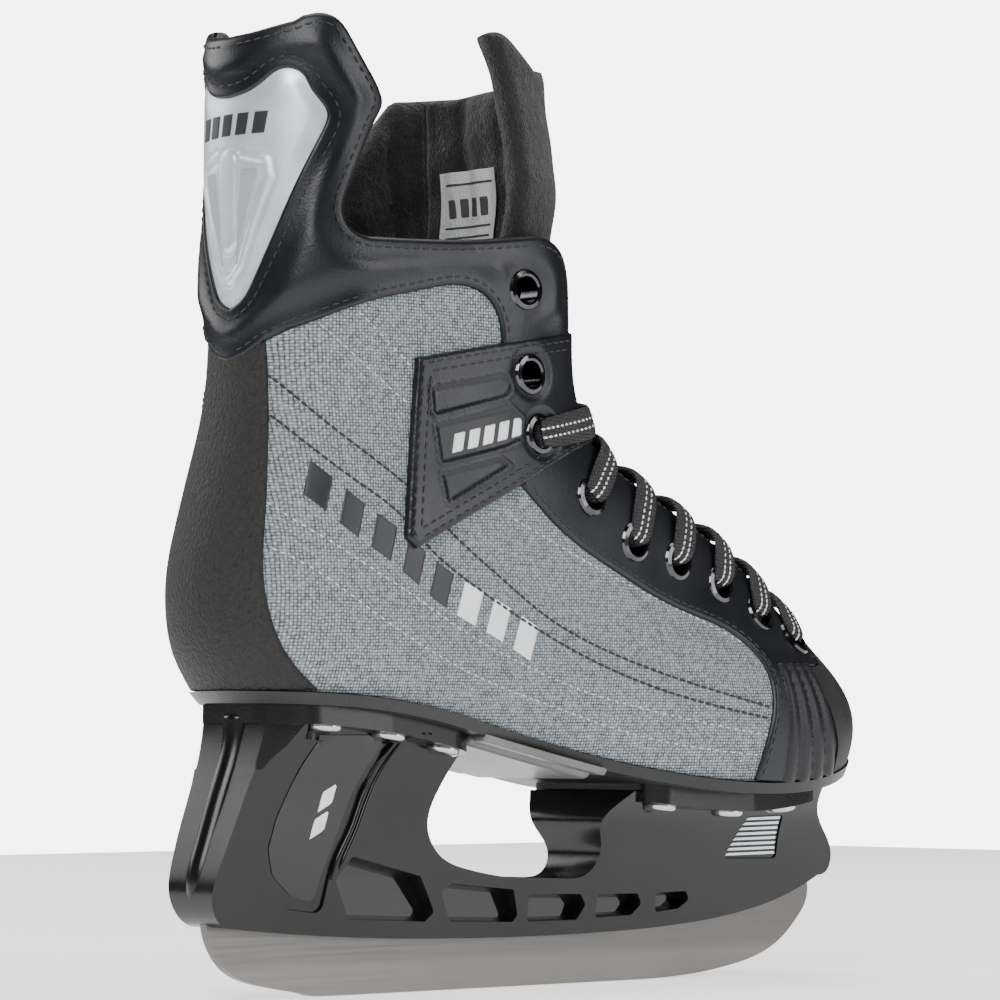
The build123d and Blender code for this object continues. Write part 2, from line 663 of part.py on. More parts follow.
def corner_radii(points):
    """Largest bend radius that fits at each inner point of a route."""
    radii = []
    for a, b, c in zip(points, points[1:], points[2:]):
        turn = radians((b - a).get_angle(c - b))
        run = min((b - a).length, (c - b).length)
        radii.append(min(0.45 * run / max(tan(turn / 2), 0.01), 60))
    return radii


with BuildPart() as lace:
    with BuildLine() as route:
        FilletPolyline(*lace_points, radius=corner_radii(lace_points))
    with BuildSketch(Plane(origin=route.line @ 0, z_dir=route.line % 0)):
        Circle(LACE_R)
    sweep()
print("lace length mm", round(sum(edge.length for edge in route.edges())))
save(lace.part, "lace")

with BuildPart() as aglets:
    for end, inward in ((lace_points[0], lace_points[1]), (lace_points[-1], lace_points[-2])):
        with BuildSketch(Plane(origin=end, z_dir=end - inward)):
            Circle(LACE_R + 0.2)
        extrude(amount=AGLET_LENGTH)
save(aglets.part, "aglets")
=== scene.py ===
"""Looks of the ice skate. Lengths in this script are in millimetres until a mesh is made."""
import math

import bpy
import numpy as np
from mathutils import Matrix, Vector
from mathutils.bvhtree import BVHTree
from mathutils.geometry import delaunay_2d_cdt


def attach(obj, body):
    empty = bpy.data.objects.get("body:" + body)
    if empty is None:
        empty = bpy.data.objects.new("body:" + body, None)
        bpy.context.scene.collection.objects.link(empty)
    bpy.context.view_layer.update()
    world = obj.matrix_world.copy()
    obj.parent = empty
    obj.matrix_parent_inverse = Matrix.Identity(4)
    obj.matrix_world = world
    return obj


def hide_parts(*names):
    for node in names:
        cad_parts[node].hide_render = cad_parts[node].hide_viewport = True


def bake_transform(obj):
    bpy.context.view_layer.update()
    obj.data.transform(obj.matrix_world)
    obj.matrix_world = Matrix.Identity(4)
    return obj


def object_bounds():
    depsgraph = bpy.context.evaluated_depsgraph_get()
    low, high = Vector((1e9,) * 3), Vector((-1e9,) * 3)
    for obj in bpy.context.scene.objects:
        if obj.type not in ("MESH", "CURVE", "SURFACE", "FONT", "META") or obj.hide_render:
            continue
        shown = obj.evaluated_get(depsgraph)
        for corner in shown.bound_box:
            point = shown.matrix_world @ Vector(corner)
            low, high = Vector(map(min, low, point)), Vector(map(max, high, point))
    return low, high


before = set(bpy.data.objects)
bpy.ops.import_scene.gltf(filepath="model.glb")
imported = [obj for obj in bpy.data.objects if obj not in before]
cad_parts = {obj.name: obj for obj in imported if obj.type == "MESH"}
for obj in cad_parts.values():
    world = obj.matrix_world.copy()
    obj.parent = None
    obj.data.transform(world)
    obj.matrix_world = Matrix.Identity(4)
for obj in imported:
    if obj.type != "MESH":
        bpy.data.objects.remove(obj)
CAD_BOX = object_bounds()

MM = 0.001

# The boot's outer form, in millimetres, from below the sole to the guard's top: rear point
# (x, z), front point (x, z), half-widths at the rear, middle and front, and nose length.
STATIONS = [
    ((-103, 72), (112, 42), 26, 27, 38, 46),
    ((-109, 85), (118, 60), 30, 31, 44, 48),
    ((-116, 97), (122.5, 77), 33, 35, 45, 48),
    ((-118.5, 109), (117, 90), 33.5, 36, 41, 46),
    ((-118, 121), (106, 105), 33.5, 36.5, 34, 44),
    ((-115, 134), (82, 122), 33, 37, 32, 34),
    ((-111, 149), (52, 137.5), 32.5, 37.5, 32, 26),
    ((-107.5, 164), (23, 152), 32, 37, 32, 20),
    ((-106, 178), (8, 169), 31.5, 36.5, 33, 17),
    ((-105.6, 196), (3.5, 193), 31, 36, 34, 15),
    ((-106.5, 222), (1, 222), 30, 35, 34.5, 14),
    ((-106.5, 250), (-2, 250), 29.5, 33, 32, 14),
    ((-106, 280), (-4, 280), 29, 31, 30, 14),
]
BLUNT_SECTIONS = 4
TOE_SWING = 4.0              # the toe turns this far to the inner side
TOE_REACH = 125.0


def toe_swing(x):
    """Sideways shift of the form towards the inner side, at x."""
    return TOE_SWING * (max(x, 0) / TOE_REACH) ** 2


def section_ring(index):
    """Points of one section in millimetres: rear, outer side, front, inner side."""
    (xr, zr), (xf, zf), rear, middle, front, nose = STATIONS[index]
    length = math.hypot(xf - xr, zf - zr)
    blunt = 1.2 if index < BLUNT_SECTIONS else 1.0
    side = [(rear * (1 - math.cos(math.radians(a))), rear * math.sin(math.radians(a))) for a in (30, 60, 90)]
    side.append(((rear + length - nose) / 2, middle))
    for angle in (90, 60, 30):
        a = math.radians(angle)
        side.append((length - nose * (1 - math.cos(a)) ** blunt, front * math.sin(a) ** (1 / blunt)))
    flat = [(0, 0)] + [(u, -v) for u, v in side] + [(length, 0)] + [(u, v) for u, v in reversed(side)]
    slope = ((xf - xr) / length, (zf - zr) / length)
    return np.array([
        (xr + u * slope[0], v + toe_swing(xr + u * slope[0]), zr + u * slope[1]) for u, v in flat
    ])


def spline_weights(knots, at, period=None):
    """Weights of a cubic spline through values at the knots: rows for each place in at."""
    n = len(knots)
    step = np.diff(np.append(knots, knots[0] + period)) if period else np.diff(knots)
    system, right = np.zeros((n, n)), np.zeros((n, n))
    for i in range(n):
        if not period and i in (0, n - 1):
            system[i, i] = 1
            continue
        before, after = step[i - 1], step[i]
        j, k = (i - 1) % n, (i + 1) % n
        system[i, j] += before
        system[i, i] += 2 * (before + after)
        system[i, k] += after
        right[i, j] += 6 / before
        right[i, i] -= 6 / before + 6 / after
        right[i, k] += 6 / after
    bend = np.linalg.solve(system, right)
    eye = np.eye(n)
    place = np.asarray(at, float)
    place = np.mod(place - knots[0], period) + knots[0] if period else place
    cell = np.clip(np.searchsorted(knots, place, side="right") - 1, 0, len(step) - 1)
    h = step[cell][:, None]
    b = ((place - knots[cell])[:, None]) / h
    a = 1 - b
    low, high = cell, (cell + 1) % n
    return (a * eye[low] + b * eye[high]
            + ((a**3 - a) * bend[low] + (b**3 - b) * bend[high]) * h * h / 6)


RINGS = np.array([section_ring(i) for i in range(len(STATIONS))])


def ring_knots(ring):
    """Place of each ring point round the boot: 0 at the rear, 1 at the front, 2 at the rear again."""
    chord = np.linalg.norm(np.diff(np.vstack([ring, ring[:1]]), axis=0), axis=1)
    total = np.concatenate([[0], np.cumsum(chord)])
    front = len(ring) // 2
    outer = total[:front + 1] / total[front]
    inner = 1 + (total[front:-1] - total[front]) / (total[-1] - total[front])
    return np.concatenate([outer, inner[1:]])


KNOTS = [ring_knots(ring) for ring in RINGS]
HEIGHTS = np.concatenate([[0], np.cumsum(np.linalg.norm(np.diff(RINGS, axis=0), axis=2).mean(axis=1))])


def form(u, t):
    """Points of the outer form, in millimetres, at places u round it and t up it."""
    u, t = np.asarray(u, float), np.asarray(t, float)
    rows = np.stack([spline_weights(k, u, 2.0) @ ring for k, ring in zip(KNOTS, RINGS)], axis=1)
    return np.einsum("nk,nkc->nc", spline_weights(HEIGHTS, t), rows)

GRID_ROUND, GRID_UP = 321, 261


def grid_skin():
    """Search tree over the whole form, with the places of its grid lines."""
    us, ts = np.linspace(0, 2, GRID_ROUND), np.linspace(0, HEIGHTS[-1], GRID_UP)
    u, t = np.meshgrid(us, ts, indexing="ij")
    points = form(u.ravel(), t.ravel())
    faces = [
        (i * GRID_UP + j, (i + 1) * GRID_UP + j, (i + 1) * GRID_UP + j + 1, i * GRID_UP + j + 1)
        for i in range(GRID_ROUND - 1) for j in range(GRID_UP - 1)
    ]
    return BVHTree.FromPolygons([tuple(p) for p in points], faces), us, ts, points


SKIN_TREE, SKIN_U, SKIN_T, SKIN_POINTS = grid_skin()


def place_of(start, direction):
    """Place (u, t) where a ray meets the form."""
    hit, _, face, _ = SKIN_TREE.ray_cast(Vector(start), Vector(direction))
    if hit is None:
        raise ValueError(f"no form at {start}")
    i, j = divmod(face, GRID_UP - 1)
    corner = SKIN_POINTS[i * GRID_UP + j]
    over = SKIN_POINTS[(i + 1) * GRID_UP + j] - corner
    up = SKIN_POINTS[i * GRID_UP + j + 1] - corner
    share = np.linalg.lstsq(np.column_stack([over, up]), np.array(hit) - corner, rcond=None)[0]
    return SKIN_U[i] + share[0] * (SKIN_U[1] - SKIN_U[0]), SKIN_T[j] + share[1] * (SKIN_T[1] - SKIN_T[0])


def along(points, step, bend=True):
    """Evenly spaced points on a smooth or straight line through the given ones."""
    points = np.array(points, float)
    chord = np.concatenate([[0], np.cumsum(np.linalg.norm(np.diff(points, axis=0), axis=1))])
    if bend and len(points) > 2:
        points = spline_weights(chord, np.linspace(0, chord[-1], int(chord[-1] / 0.4) + 3)) @ points
        chord = np.concatenate([[0], np.cumsum(np.linalg.norm(np.diff(points, axis=0), axis=1))])
    at = np.linspace(0, chord[-1], max(2, round(chord[-1] / step) + 1))
    return np.column_stack([np.interp(at, chord, column) for column in points.T])


def side(points, bend=True, step=1.5):
    """Line on the outer side of the form, from its side view (x, z)."""
    return np.array([place_of((x, -90, z), (0, 1, 0)) for x, z in along(points, step, bend)])


def back(points, bend=True, step=1.5):
    """Line on the back of the form, from its rear view (y, z), with y towards the outer side."""
    places = np.array([place_of((-170, -y, z), (1, 0, 0)) for y, z in along(points, step, bend)])
    places[:, 0] -= 2 * (places[:, 0] > 1)
    return places


def flip(places):
    """The same line on the inner side."""
    return np.column_stack([-places[:, 0], places[:, 1]])


def whole(half):
    """Closed outline across the back centreline from its outer half, which starts and ends there."""
    return np.vstack([half, flip(half)[::-1]])


def join(*lines):
    """One outline from lines that follow each other, without doubled points."""
    places = np.vstack(lines)
    points = form(*places.T)
    keep = [0]
    for i in range(1, len(points)):
        if np.linalg.norm(points[i] - points[keep[-1]]) > 0.35:
            keep.append(i)
    if np.linalg.norm(points[keep[-1]] - points[0]) < 0.35:
        keep.pop()
    return places[keep]


def form_frame(places):
    """Points, outward normals and the two tangents of the form at places."""
    u, t = places.T
    d = 1e-3
    over = (form(u + d, t) - form(u - d, t)) / (2 * d)
    up = (form(u, t + 100 * d) - form(u, t - 100 * d)) / (200 * d)
    normal = np.cross(over, up)
    return form(u, t), normal / np.linalg.norm(normal, axis=1)[:, None], over, up


def slide(places, moves):
    """Places moved over the form by 3-D vectors that lie in its skin."""
    _, _, over, up = form_frame(places)
    oo, uu, ou = (over * over).sum(1), (up * up).sum(1), (over * up).sum(1)
    mo, mu = (moves * over).sum(1), (moves * up).sum(1)
    det = oo * uu - ou * ou
    return places + np.column_stack([(mo * uu - mu * ou) / det, (mu * oo - mo * ou) / det])


def shifted(places, distance, closed=False):
    """A line moved sideways over the form, to its left seen from outside."""
    points, normal, _, _ = form_frame(places)
    if closed:
        tangent = np.roll(points, -1, axis=0) - np.roll(points, 1, axis=0)
    else:
        tangent = np.gradient(points, axis=0)
    left = np.cross(normal, tangent)
    return slide(places, left / np.linalg.norm(left, axis=1)[:, None] * distance)


def distance(points, line):
    """Distance from each point to a polyline."""
    start, run = line[:-1], np.diff(line, axis=0)
    square = np.maximum((run * run).sum(1), 1e-9)
    best = np.empty(len(points))
    for low in range(0, len(points), 1500):
        to = points[low:low + 1500, None] - start
        share = np.clip((to * run).sum(2) / square, 0, 1)[..., None]
        best[low:low + 1500] = np.linalg.norm(to - share * run, axis=2).min(1)
    return best


def closed_line(places):
    return np.vstack([places, places[:1]])


def inside(points, loop):
    """Which 2-D points lie inside a closed outline."""
    result = np.zeros(len(points), bool)
    x, y = points.T
    for (xa, ya), (xb, yb) in zip(loop, np.roll(loop, -1, axis=0)):
        crosses = (ya > y) != (yb > y)
        result ^= crosses & (x < (xb - xa) * (y - ya) / (yb - ya + 1e-12) + xa)
    return result


def rounded(share):
    """Quarter-round profile, from 0 at an edge to 1 at its full height."""
    share = np.clip(share, 0, 1)
    return np.sqrt(1 - (1 - share) ** 2)


def ease(share):
    share = np.clip(share, 0, 1)
    return share * share * (3 - 2 * share)


def circle(centre, radius, count=22):
    """Closed outline round a place, counter-clockwise from outside."""
    centre = np.array([centre])
    _, normal, over, _ = form_frame(centre)
    a = over[0] / np.linalg.norm(over[0])
    b = np.cross(normal[0], a)
    angles = np.linspace(0, 2 * math.pi, count, endpoint=False)
    moves = radius * (np.cos(angles)[:, None] * a + np.sin(angles)[:, None] * b)
    return slide(np.repeat(centre, count, axis=0), moves)


WIDE = 170.0                 # flat width given to half of the way round the boot
RIM_ROWS = (0.25, 0.6, 1.1, 1.8)


def sort_ccw(loop):
    x, y = loop.T
    area = (x * np.roll(y, -1) - np.roll(x, -1) * y).sum()
    return loop if area > 0 else loop[::-1]


def thinned(candidates, fixed, gap):
    """Candidate points that stay a gap away from the fixed ones and each other, by grid cell."""
    cells = {}

    def near(point):
        cx, cy = int(point[0] // gap), int(point[1] // gap)
        for i in (cx - 1, cx, cx + 1):
            for j in (cy - 1, cy, cy + 1):
                for other in cells.get((i, j), ()):
                    if (other[0] - point[0]) ** 2 + (other[1] - point[1]) ** 2 < gap * gap:
                        return True
        return False

    def put(point):
        cells.setdefault((int(point[0] // gap), int(point[1] // gap)), []).append(point)

    for point in fixed:
        put(point)
    kept = []
    for point in candidates:
        if not near(point):
            put(point)
            kept.append(point)
    return kept


def new_object(name, vertices, faces, material, slot, smooth=True):
    """Mesh object from points in millimetres."""
    mesh = bpy.data.meshes.new(name)
    mesh.from_pydata([tuple(v) for v in np.asarray(vertices) * MM], [], faces)
    mesh.materials.append(material)
    mesh.validate()
    mesh.shade_smooth() if smooth else mesh.shade_flat()
    obj = bpy.data.objects.new(name, mesh)
    bpy.context.scene.collection.objects.link(obj)
    return obj


def panel(name, loop, heights, finish, spacing=2.2, openings=(), lines=()):
    """Closed sewn or moulded piece on the form. loop and openings are outlines in places, heights gives
    the outer and inner height of each point above the form, and lines get rows of points of their own."""
    scale = np.array([WIDE, 1.0])
    loop = sort_ccw(loop)
    openings = [sort_ccw(o) for o in openings]
    flat = [loop * scale] + [o * scale for o in openings]
    fixed, edges = [], []
    for outline in flat:
        first = len(fixed)
        fixed += [tuple(p) for p in outline]
        edges += [(first + i, first + (i + 1) % len(outline)) for i in range(len(outline))]
    rows = []
    for depth in RIM_ROWS:
        if depth < spacing:
            rows += [shifted(loop, depth, True)] + [shifted(o, -depth, True) for o in openings]
    for line in lines:
        rows += [line, shifted(line, 0.7), shifted(line, -0.7)]
    low, high = flat[0].min(0), flat[0].max(0)
    grid = [
        (low[0] + (i + 0.5 * (j % 2)) * spacing, low[1] + j * spacing * 0.87)
        for j in range(int((high[1] - low[1]) / spacing / 0.87) + 1)
        for i in range(int((high[0] - low[0]) / spacing) + 1)
    ]
    close = np.vstack(rows) * scale if rows else np.zeros((0, 2))
    keep = inside(close, flat[0])
    for hole in flat[1:]:
        keep &= ~inside(close, hole)
    inner = thinned([tuple(p) for p in close[keep]], fixed, 0.2)
    grid = np.array(grid)
    keep = inside(grid, flat[0])
    for hole in flat[1:]:
        keep &= ~inside(grid, hole)
    inner += thinned([tuple(p) for p in grid[keep]], fixed + inner, spacing * 0.62)
    result = delaunay_2d_cdt([Vector(p) for p in fixed + inner], edges, [], 1, 1e-5)
    flat_points = np.array([tuple(v) for v in result[0]])
    triangles = np.array([tuple(f) for f in result[2]])
    middle = flat_points[triangles].mean(1)
    keep = inside(middle, flat[0])
    for hole in flat[1:]:
        keep &= ~inside(middle, hole)
    triangles = triangles[keep]
    a, b, c = (flat_points[triangles[:, k]] for k in range(3))
    turned = (b - a)[:, 0] * (c - a)[:, 1] - (b - a)[:, 1] * (c - a)[:, 0] < 0
    triangles[turned] = triangles[turned][:, ::-1]
    used, triangles = np.unique(triangles, return_inverse=True)
    triangles = triangles.reshape(-1, 3)
    places = flat_points[used] / scale
    points, normal, _, _ = form_frame(places)
    top, bottom = heights(places, points)
    count = len(points)
    vertices = np.vstack([points + normal * top[:, None], points + normal * bottom[:, None]])
    faces = [tuple(f) for f in triangles] + [tuple(f + count) for f in triangles[:, ::-1]]
    directed = {(f[i], f[(i + 1) % 3]) for f in triangles.tolist() for i in range(3)}
    faces += [(a + count, b + count, b, a) for a, b in directed if (b, a) not in directed]
    return new_object(name, vertices, faces, *finish)


def sewn(thick, edges, extra=None, under=-1.3):
    """Heights of a panel that is thick above the form. edges are (line of places, height at the line,
    radius of its round) and extra adds padding or embossing."""
    lines = [(form(*line.T), low, radius) for line, low, radius in edges]

    def heights(places, points):
        high = thick + (extra(places, points) if extra else 0) + np.zeros(len(points))
        out = high.copy()
        for line, low, radius in lines:
            out = np.minimum(out, low + (high - low) * rounded(distance(points, line) / radius))
        return out, np.full(len(points), under)

    return heights


STITCH_RINGS = ((-1.0, 0.3), (-0.6, 0.85), (0.0, 1.0), (0.6, 0.85), (1.0, 0.3))
STITCH_SIDES = 6


def stitches(name, lines, finish, length=2.3, pitch=3.1, thick=0.62):
    """Rows of separate stitches. lines are (places, height function)."""
    vertices, faces = [], []
    ring_angles = [2 * math.pi * k / STITCH_SIDES for k in range(STITCH_SIDES)]
    for places, heights in lines:
        points, normal, _, _ = form_frame(places)
        points = points + normal * heights(places, points)[0][:, None]
        reach = np.concatenate([[0], np.cumsum(np.linalg.norm(np.diff(points, axis=0), axis=1))])
        for middle in np.arange(pitch / 2, reach[-1] - length / 2, pitch):
            ends = [np.array([np.interp(middle + s, reach, c) for c in points.T])
                for s in (-length / 2, length / 2)]
            up = np.array([np.interp(middle, reach, c) for c in normal.T])
            run = (ends[1] - ends[0]) / 2
            across = np.cross(up, run)
            across /= np.linalg.norm(across)
            first = len(vertices)
            for share, girth in STITCH_RINGS:
                centre = (ends[0] + ends[1]) / 2 + run * share + up * thick * (0.28 - 0.4 * share * share)
                for angle in ring_angles:
                    spoke = math.cos(angle) * across + math.sin(angle) * up
                    vertices.append(centre + thick / 2 * girth * spoke)
            for ring in range(len(STITCH_RINGS) - 1):
                for k in range(STITCH_SIDES):
                    row = first + ring * STITCH_SIDES
                    a, b = row + k, row + (k + 1) % STITCH_SIDES
                    faces.append((a, b, b + STITCH_SIDES, a + STITCH_SIDES))
            faces.append(tuple(first + k for k in reversed(range(STITCH_SIDES))))
            last = first + (len(STITCH_RINGS) - 1) * STITCH_SIDES
            faces.append(tuple(last + k for k in range(STITCH_SIDES)))
    return new_object(name, vertices, faces, *finish)


# ------------------------------------------------------------------- materials
def start_material(name, colour, roughness, metallic=0.0, **sockets):
    """New material with its constant values on the shader, and its node tree."""
    material = bpy.data.materials.new(name)
    material.use_nodes = True
    tree = material.node_tree
    shader = tree.nodes["Principled BSDF"]
    shader.inputs["Base Color"].default_value = (*colour, 1)
    shader.inputs["Roughness"].default_value = roughness
    shader.inputs["Metallic"].default_value = metallic
    for socket, value in sockets.items():
        shader.inputs[socket.replace("_", " ")].default_value = value
    return material, tree, shader


def node(tree, kind, **values):
    """A node with its inputs set to numbers or linked to sockets."""
    made = tree.nodes.new(kind)
    for key, value in values.items():
        if key == "operation":
            made.operation = value
            continue
        socket = made.inputs[int(key[1:])] if key[1:].isdigit() else made.inputs[key.capitalize()]
        if isinstance(value, bpy.types.NodeSocket):
            tree.links.new(value, socket)
        else:
            socket.default_value = value
    return made


def maths(tree, operation, a, b=0.0):
    return node(tree, "ShaderNodeMath", operation=operation, i0=a, i1=b).outputs[0]


def object_place(tree, stretch=(1, 1, 1)):
    """Object coordinates, scaled along each axis."""
    place = node(tree, "ShaderNodeTexCoord").outputs["Object"]
    return node(tree, "ShaderNodeMapping", i0=place, i3=stretch).outputs[0]


def noise(tree, size, detail=3.0, stretch=(1, 1, 1)):
    """Noise whose features are about size metres wide."""
    made = node(tree, "ShaderNodeTexNoise", scale=1 / size, detail=detail)
    tree.links.new(object_place(tree, stretch), made.inputs["Vector"])
    return made.outputs[0]


def cells(tree, size):
    made = node(tree, "ShaderNodeTexVoronoi", scale=1 / size)
    tree.links.new(object_place(tree), made.inputs["Vector"])
    return made.outputs["Distance"]


def spread(tree, value, low, high):
    """A 0-1 value mapped to another range."""
    return node(tree, "ShaderNodeMapRange", i0=value, i1=0.3, i2=0.7, i3=low, i4=high).outputs[0]


def mixed(tree, share, first, second):
    """Colour between two colours or sockets."""
    made = tree.nodes.new("ShaderNodeMix")
    made.data_type = "RGBA"
    tree.links.new(share, made.inputs[0])
    for index, value in ((6, first), (7, second)):
        if isinstance(value, bpy.types.NodeSocket):
            tree.links.new(value, made.inputs[index])
        else:
            made.inputs[index].default_value = (*value, 1)
    return made.outputs[2]


def bumped(tree, shader, height, depth):
    """Bump of that depth, in metres, from a height from 0 to 1."""
    made = node(tree, "ShaderNodeBump", height=height, distance=depth)
    made.inputs["Strength"].default_value = 1.0
    tree.links.new(made.outputs[0], shader.inputs["Normal"])


def grained(name, colour, worn, roughness, grain, depth, metallic=0.0, patch=0.02, **sockets):
    """Leather or moulded plastic: fine grain, uneven gloss and a slightly worn second colour."""
    material, tree, shader = start_material(name, colour, roughness, metallic, **sockets)
    broad = noise(tree, patch, 4.0)
    tree.links.new(mixed(tree, spread(tree, broad, 0.0, 1.0), colour, worn), shader.inputs["Base Color"])
    tree.links.new(spread(tree, broad, roughness * 0.85, roughness * 1.2), shader.inputs["Roughness"])
    height = maths(tree, "ADD", maths(tree, "MULTIPLY", cells(tree, grain), 0.6), noise(tree, grain * 0.7))
    bumped(tree, shader, height, depth)
    return material


def woven(name, light, dark, pitch, roughness=0.75):
    """Plain weave in the boot's side plane: warp and weft take turns on top."""
    material, tree, shader = start_material(name, light, roughness)
    axes = node(tree, "ShaderNodeSeparateXYZ", i0=object_place(tree, (1 / pitch, 1 / pitch, 1 / pitch)))
    wobble = maths(tree, "MULTIPLY", noise(tree, pitch * 9), 1.1)
    x = maths(tree, "MULTIPLY", maths(tree, "ADD", axes.outputs[0], wobble), math.pi)
    z = maths(tree, "MULTIPLY", maths(tree, "ADD", axes.outputs[2], wobble), math.pi)
    across, up = maths(tree, "SINE", x), maths(tree, "SINE", z)
    swap = maths(tree, "MULTIPLY", across, up)
    rise = maths(tree, "POWER", maths(tree, "ABSOLUTE", swap), 0.6)
    warp = maths(tree, "GREATER_THAN", swap, 0.0)
    slub = noise(tree, pitch * 1.6, 2.0)
    tone = maths(tree, "MULTIPLY", rise, maths(tree, "ADD", maths(tree, "MULTIPLY", warp, 0.30), 0.62))
    tone = maths(tree, "ADD", tone, spread(tree, slub, -0.22, 0.22))
    tree.links.new(mixed(tree, tone, dark, light), shader.inputs["Base Color"])
    bumped(tree, shader, rise, pitch * 0.35)
    return material


def felted(name, colour, lint, size=0.0011):
    """Napped cloth: clumped fibres with a soft sheen."""
    material, tree, shader = start_material(name, colour, 0.95, Sheen_Weight=0.25, Sheen_Roughness=0.5)
    shader.inputs["Specular IOR Level"].default_value = 0.2
    fibre = noise(tree, size * 0.35, 5.0, (1, 1, 0.6))
    clump = noise(tree, size * 2.4, 3.0)
    tree.links.new(mixed(tree, spread(tree, fibre, 0.0, 1.0), colour, lint), shader.inputs["Base Color"])
    bumped(tree, shader, maths(tree, "ADD", fibre, maths(tree, "MULTIPLY", clump, 1.4)), size * 0.7)
    return material


def brushed(name, colour, worn, roughness):
    """Ground steel: long fine scratches along X and a lighter ground band near the edge."""
    material, tree, shader = start_material(name, colour, roughness, 1.0)
    scratches = noise(tree, 0.0016, 4.0, (0.04, 1, 1.6))
    smudge = noise(tree, 0.03, 3.0)
    height = node(tree, "ShaderNodeSeparateXYZ",
        i0=node(tree, "ShaderNodeTexCoord").outputs["Object"]).outputs[2]
    band = node(tree, "ShaderNodeMapRange", i0=height, i1=0.0075, i2=0.0105, i3=0.75, i4=0.15).outputs[0]
    tone = maths(tree, "MULTIPLY", band, spread(tree, smudge, 0.6, 1.0))
    tree.links.new(mixed(tree, tone, colour, worn), shader.inputs["Base Color"])
    tree.links.new(spread(tree, scratches, roughness * 0.8, roughness * 1.35), shader.inputs["Roughness"])
    bumped(tree, shader, scratches, 0.00002)
    return material


NYLON = woven("nylon_weave", (0.42, 0.47, 0.50), (0.035, 0.042, 0.048), 0.00088)
VAMP_NYLON = woven("vamp_nylon", (0.05, 0.05, 0.055), (0.008, 0.008, 0.009), 0.00088)
LEATHER = grained("black_pu", (0.0055, 0.006, 0.0085), (0.009, 0.010, 0.013), 0.34, 0.0008, 0.00004,
    Specular_IOR_Level=0.35)
RIB_LEATHER = grained("rib_pu", (0.008, 0.0085, 0.010), (0.014, 0.014, 0.016), 0.42, 0.0007, 0.00005,
    Specular_IOR_Level=0.3)
SUEDE = grained("pebbled_pu", (0.004, 0.004, 0.0042), (0.020, 0.019, 0.018), 0.6, 0.0013, 0.0006,
    patch=0.0012,
                Specular_IOR_Level=0.35)
FELT = felted("felt", (0.004, 0.004, 0.0045), (0.017, 0.0165, 0.017))
FOAM = grained("foam", (0.05, 0.05, 0.05), (0.08, 0.08, 0.08), 0.9, 0.0008, 0.0003)
BOARD = grained("fibre_board", (0.20, 0.15, 0.10), (0.28, 0.22, 0.15), 0.85, 0.0007, 0.0001)
SILVER = grained("silver_plastic", (0.56, 0.61, 0.65), (0.66, 0.70, 0.73), 0.34, 0.0004, 0.000012, 0.45,
    0.015)
SILVER_MARK = grained("grey_print", (0.28, 0.30, 0.32), (0.34, 0.36, 0.38), 0.4, 0.0004, 0.00001)
PLASTIC = grained("holder_plastic", (0.003, 0.0032, 0.004), (0.006, 0.0062, 0.007), 0.22, 0.0005, 0.000018,
    Specular_IOR_Level=0.35)
GLOSSY = grained("glossy_inlay", (0.0015, 0.0015, 0.0018), (0.003, 0.003, 0.0035), 0.06, 0.0006, 0.000004)
TOE_PLASTIC = grained("toe_plastic", (0.014, 0.014, 0.015), (0.022, 0.022, 0.023), 0.55, 0.0006, 0.00006,
    Specular_IOR_Level=0.3)
SOLE_PLASTIC = grained("sole_plastic", (0.008, 0.008, 0.009), (0.018, 0.018, 0.019), 0.38, 0.0009, 0.00006,
    Specular_IOR_Level=0.35)
ARCH_GREY = grained("arch_grey", (0.10, 0.097, 0.094), (0.14, 0.136, 0.132), 0.3, 0.0009, 0.00003)
STEEL = brushed("runner_steel", (0.13, 0.125, 0.12), (0.20, 0.19, 0.18), 0.36)
NICKEL = grained("nickel", (0.62, 0.59, 0.55), (0.48, 0.46, 0.43), 0.16, 0.0008, 0.00001, 1.0, 0.004)
BLACK_NICKEL = grained("black_nickel", (0.06, 0.06, 0.065), (0.10, 0.10, 0.11), 0.13, 0.0008, 0.00001, 1.0,
    0.004)
BLACK_THREAD = grained("black_thread", (0.006, 0.006, 0.007), (0.020, 0.020, 0.022), 0.5, 0.0003, 0.00008)
PALE_THREAD = grained("pale_thread", (0.55, 0.57, 0.58), (0.72, 0.74, 0.75), 0.6, 0.0003, 0.00008)
LACE_WEAVE = woven("lace_weave", (0.030, 0.030, 0.032), (0.004, 0.004, 0.004), 0.00105, 0.7)
WHITE_PRINT = grained("white_print", (0.80, 0.82, 0.83), (0.70, 0.72, 0.73), 0.45, 0.0008, 0.00002)
BLACK_PRINT = grained("black_print", (0.008, 0.009, 0.011), (0.016, 0.017, 0.02), 0.45, 0.0008, 0.00002)
LABEL_CLOTH = woven("label_cloth", (0.74, 0.75, 0.76), (0.50, 0.51, 0.52), 0.0004)
LABEL_INK = grained("label_ink", (0.03, 0.03, 0.035), (0.06, 0.06, 0.065), 0.7, 0.0004, 0.00001)
AGLET = grained("aglet", (0.01, 0.01, 0.011), (0.02, 0.02, 0.021), 0.2, 0.0006, 0.00001)


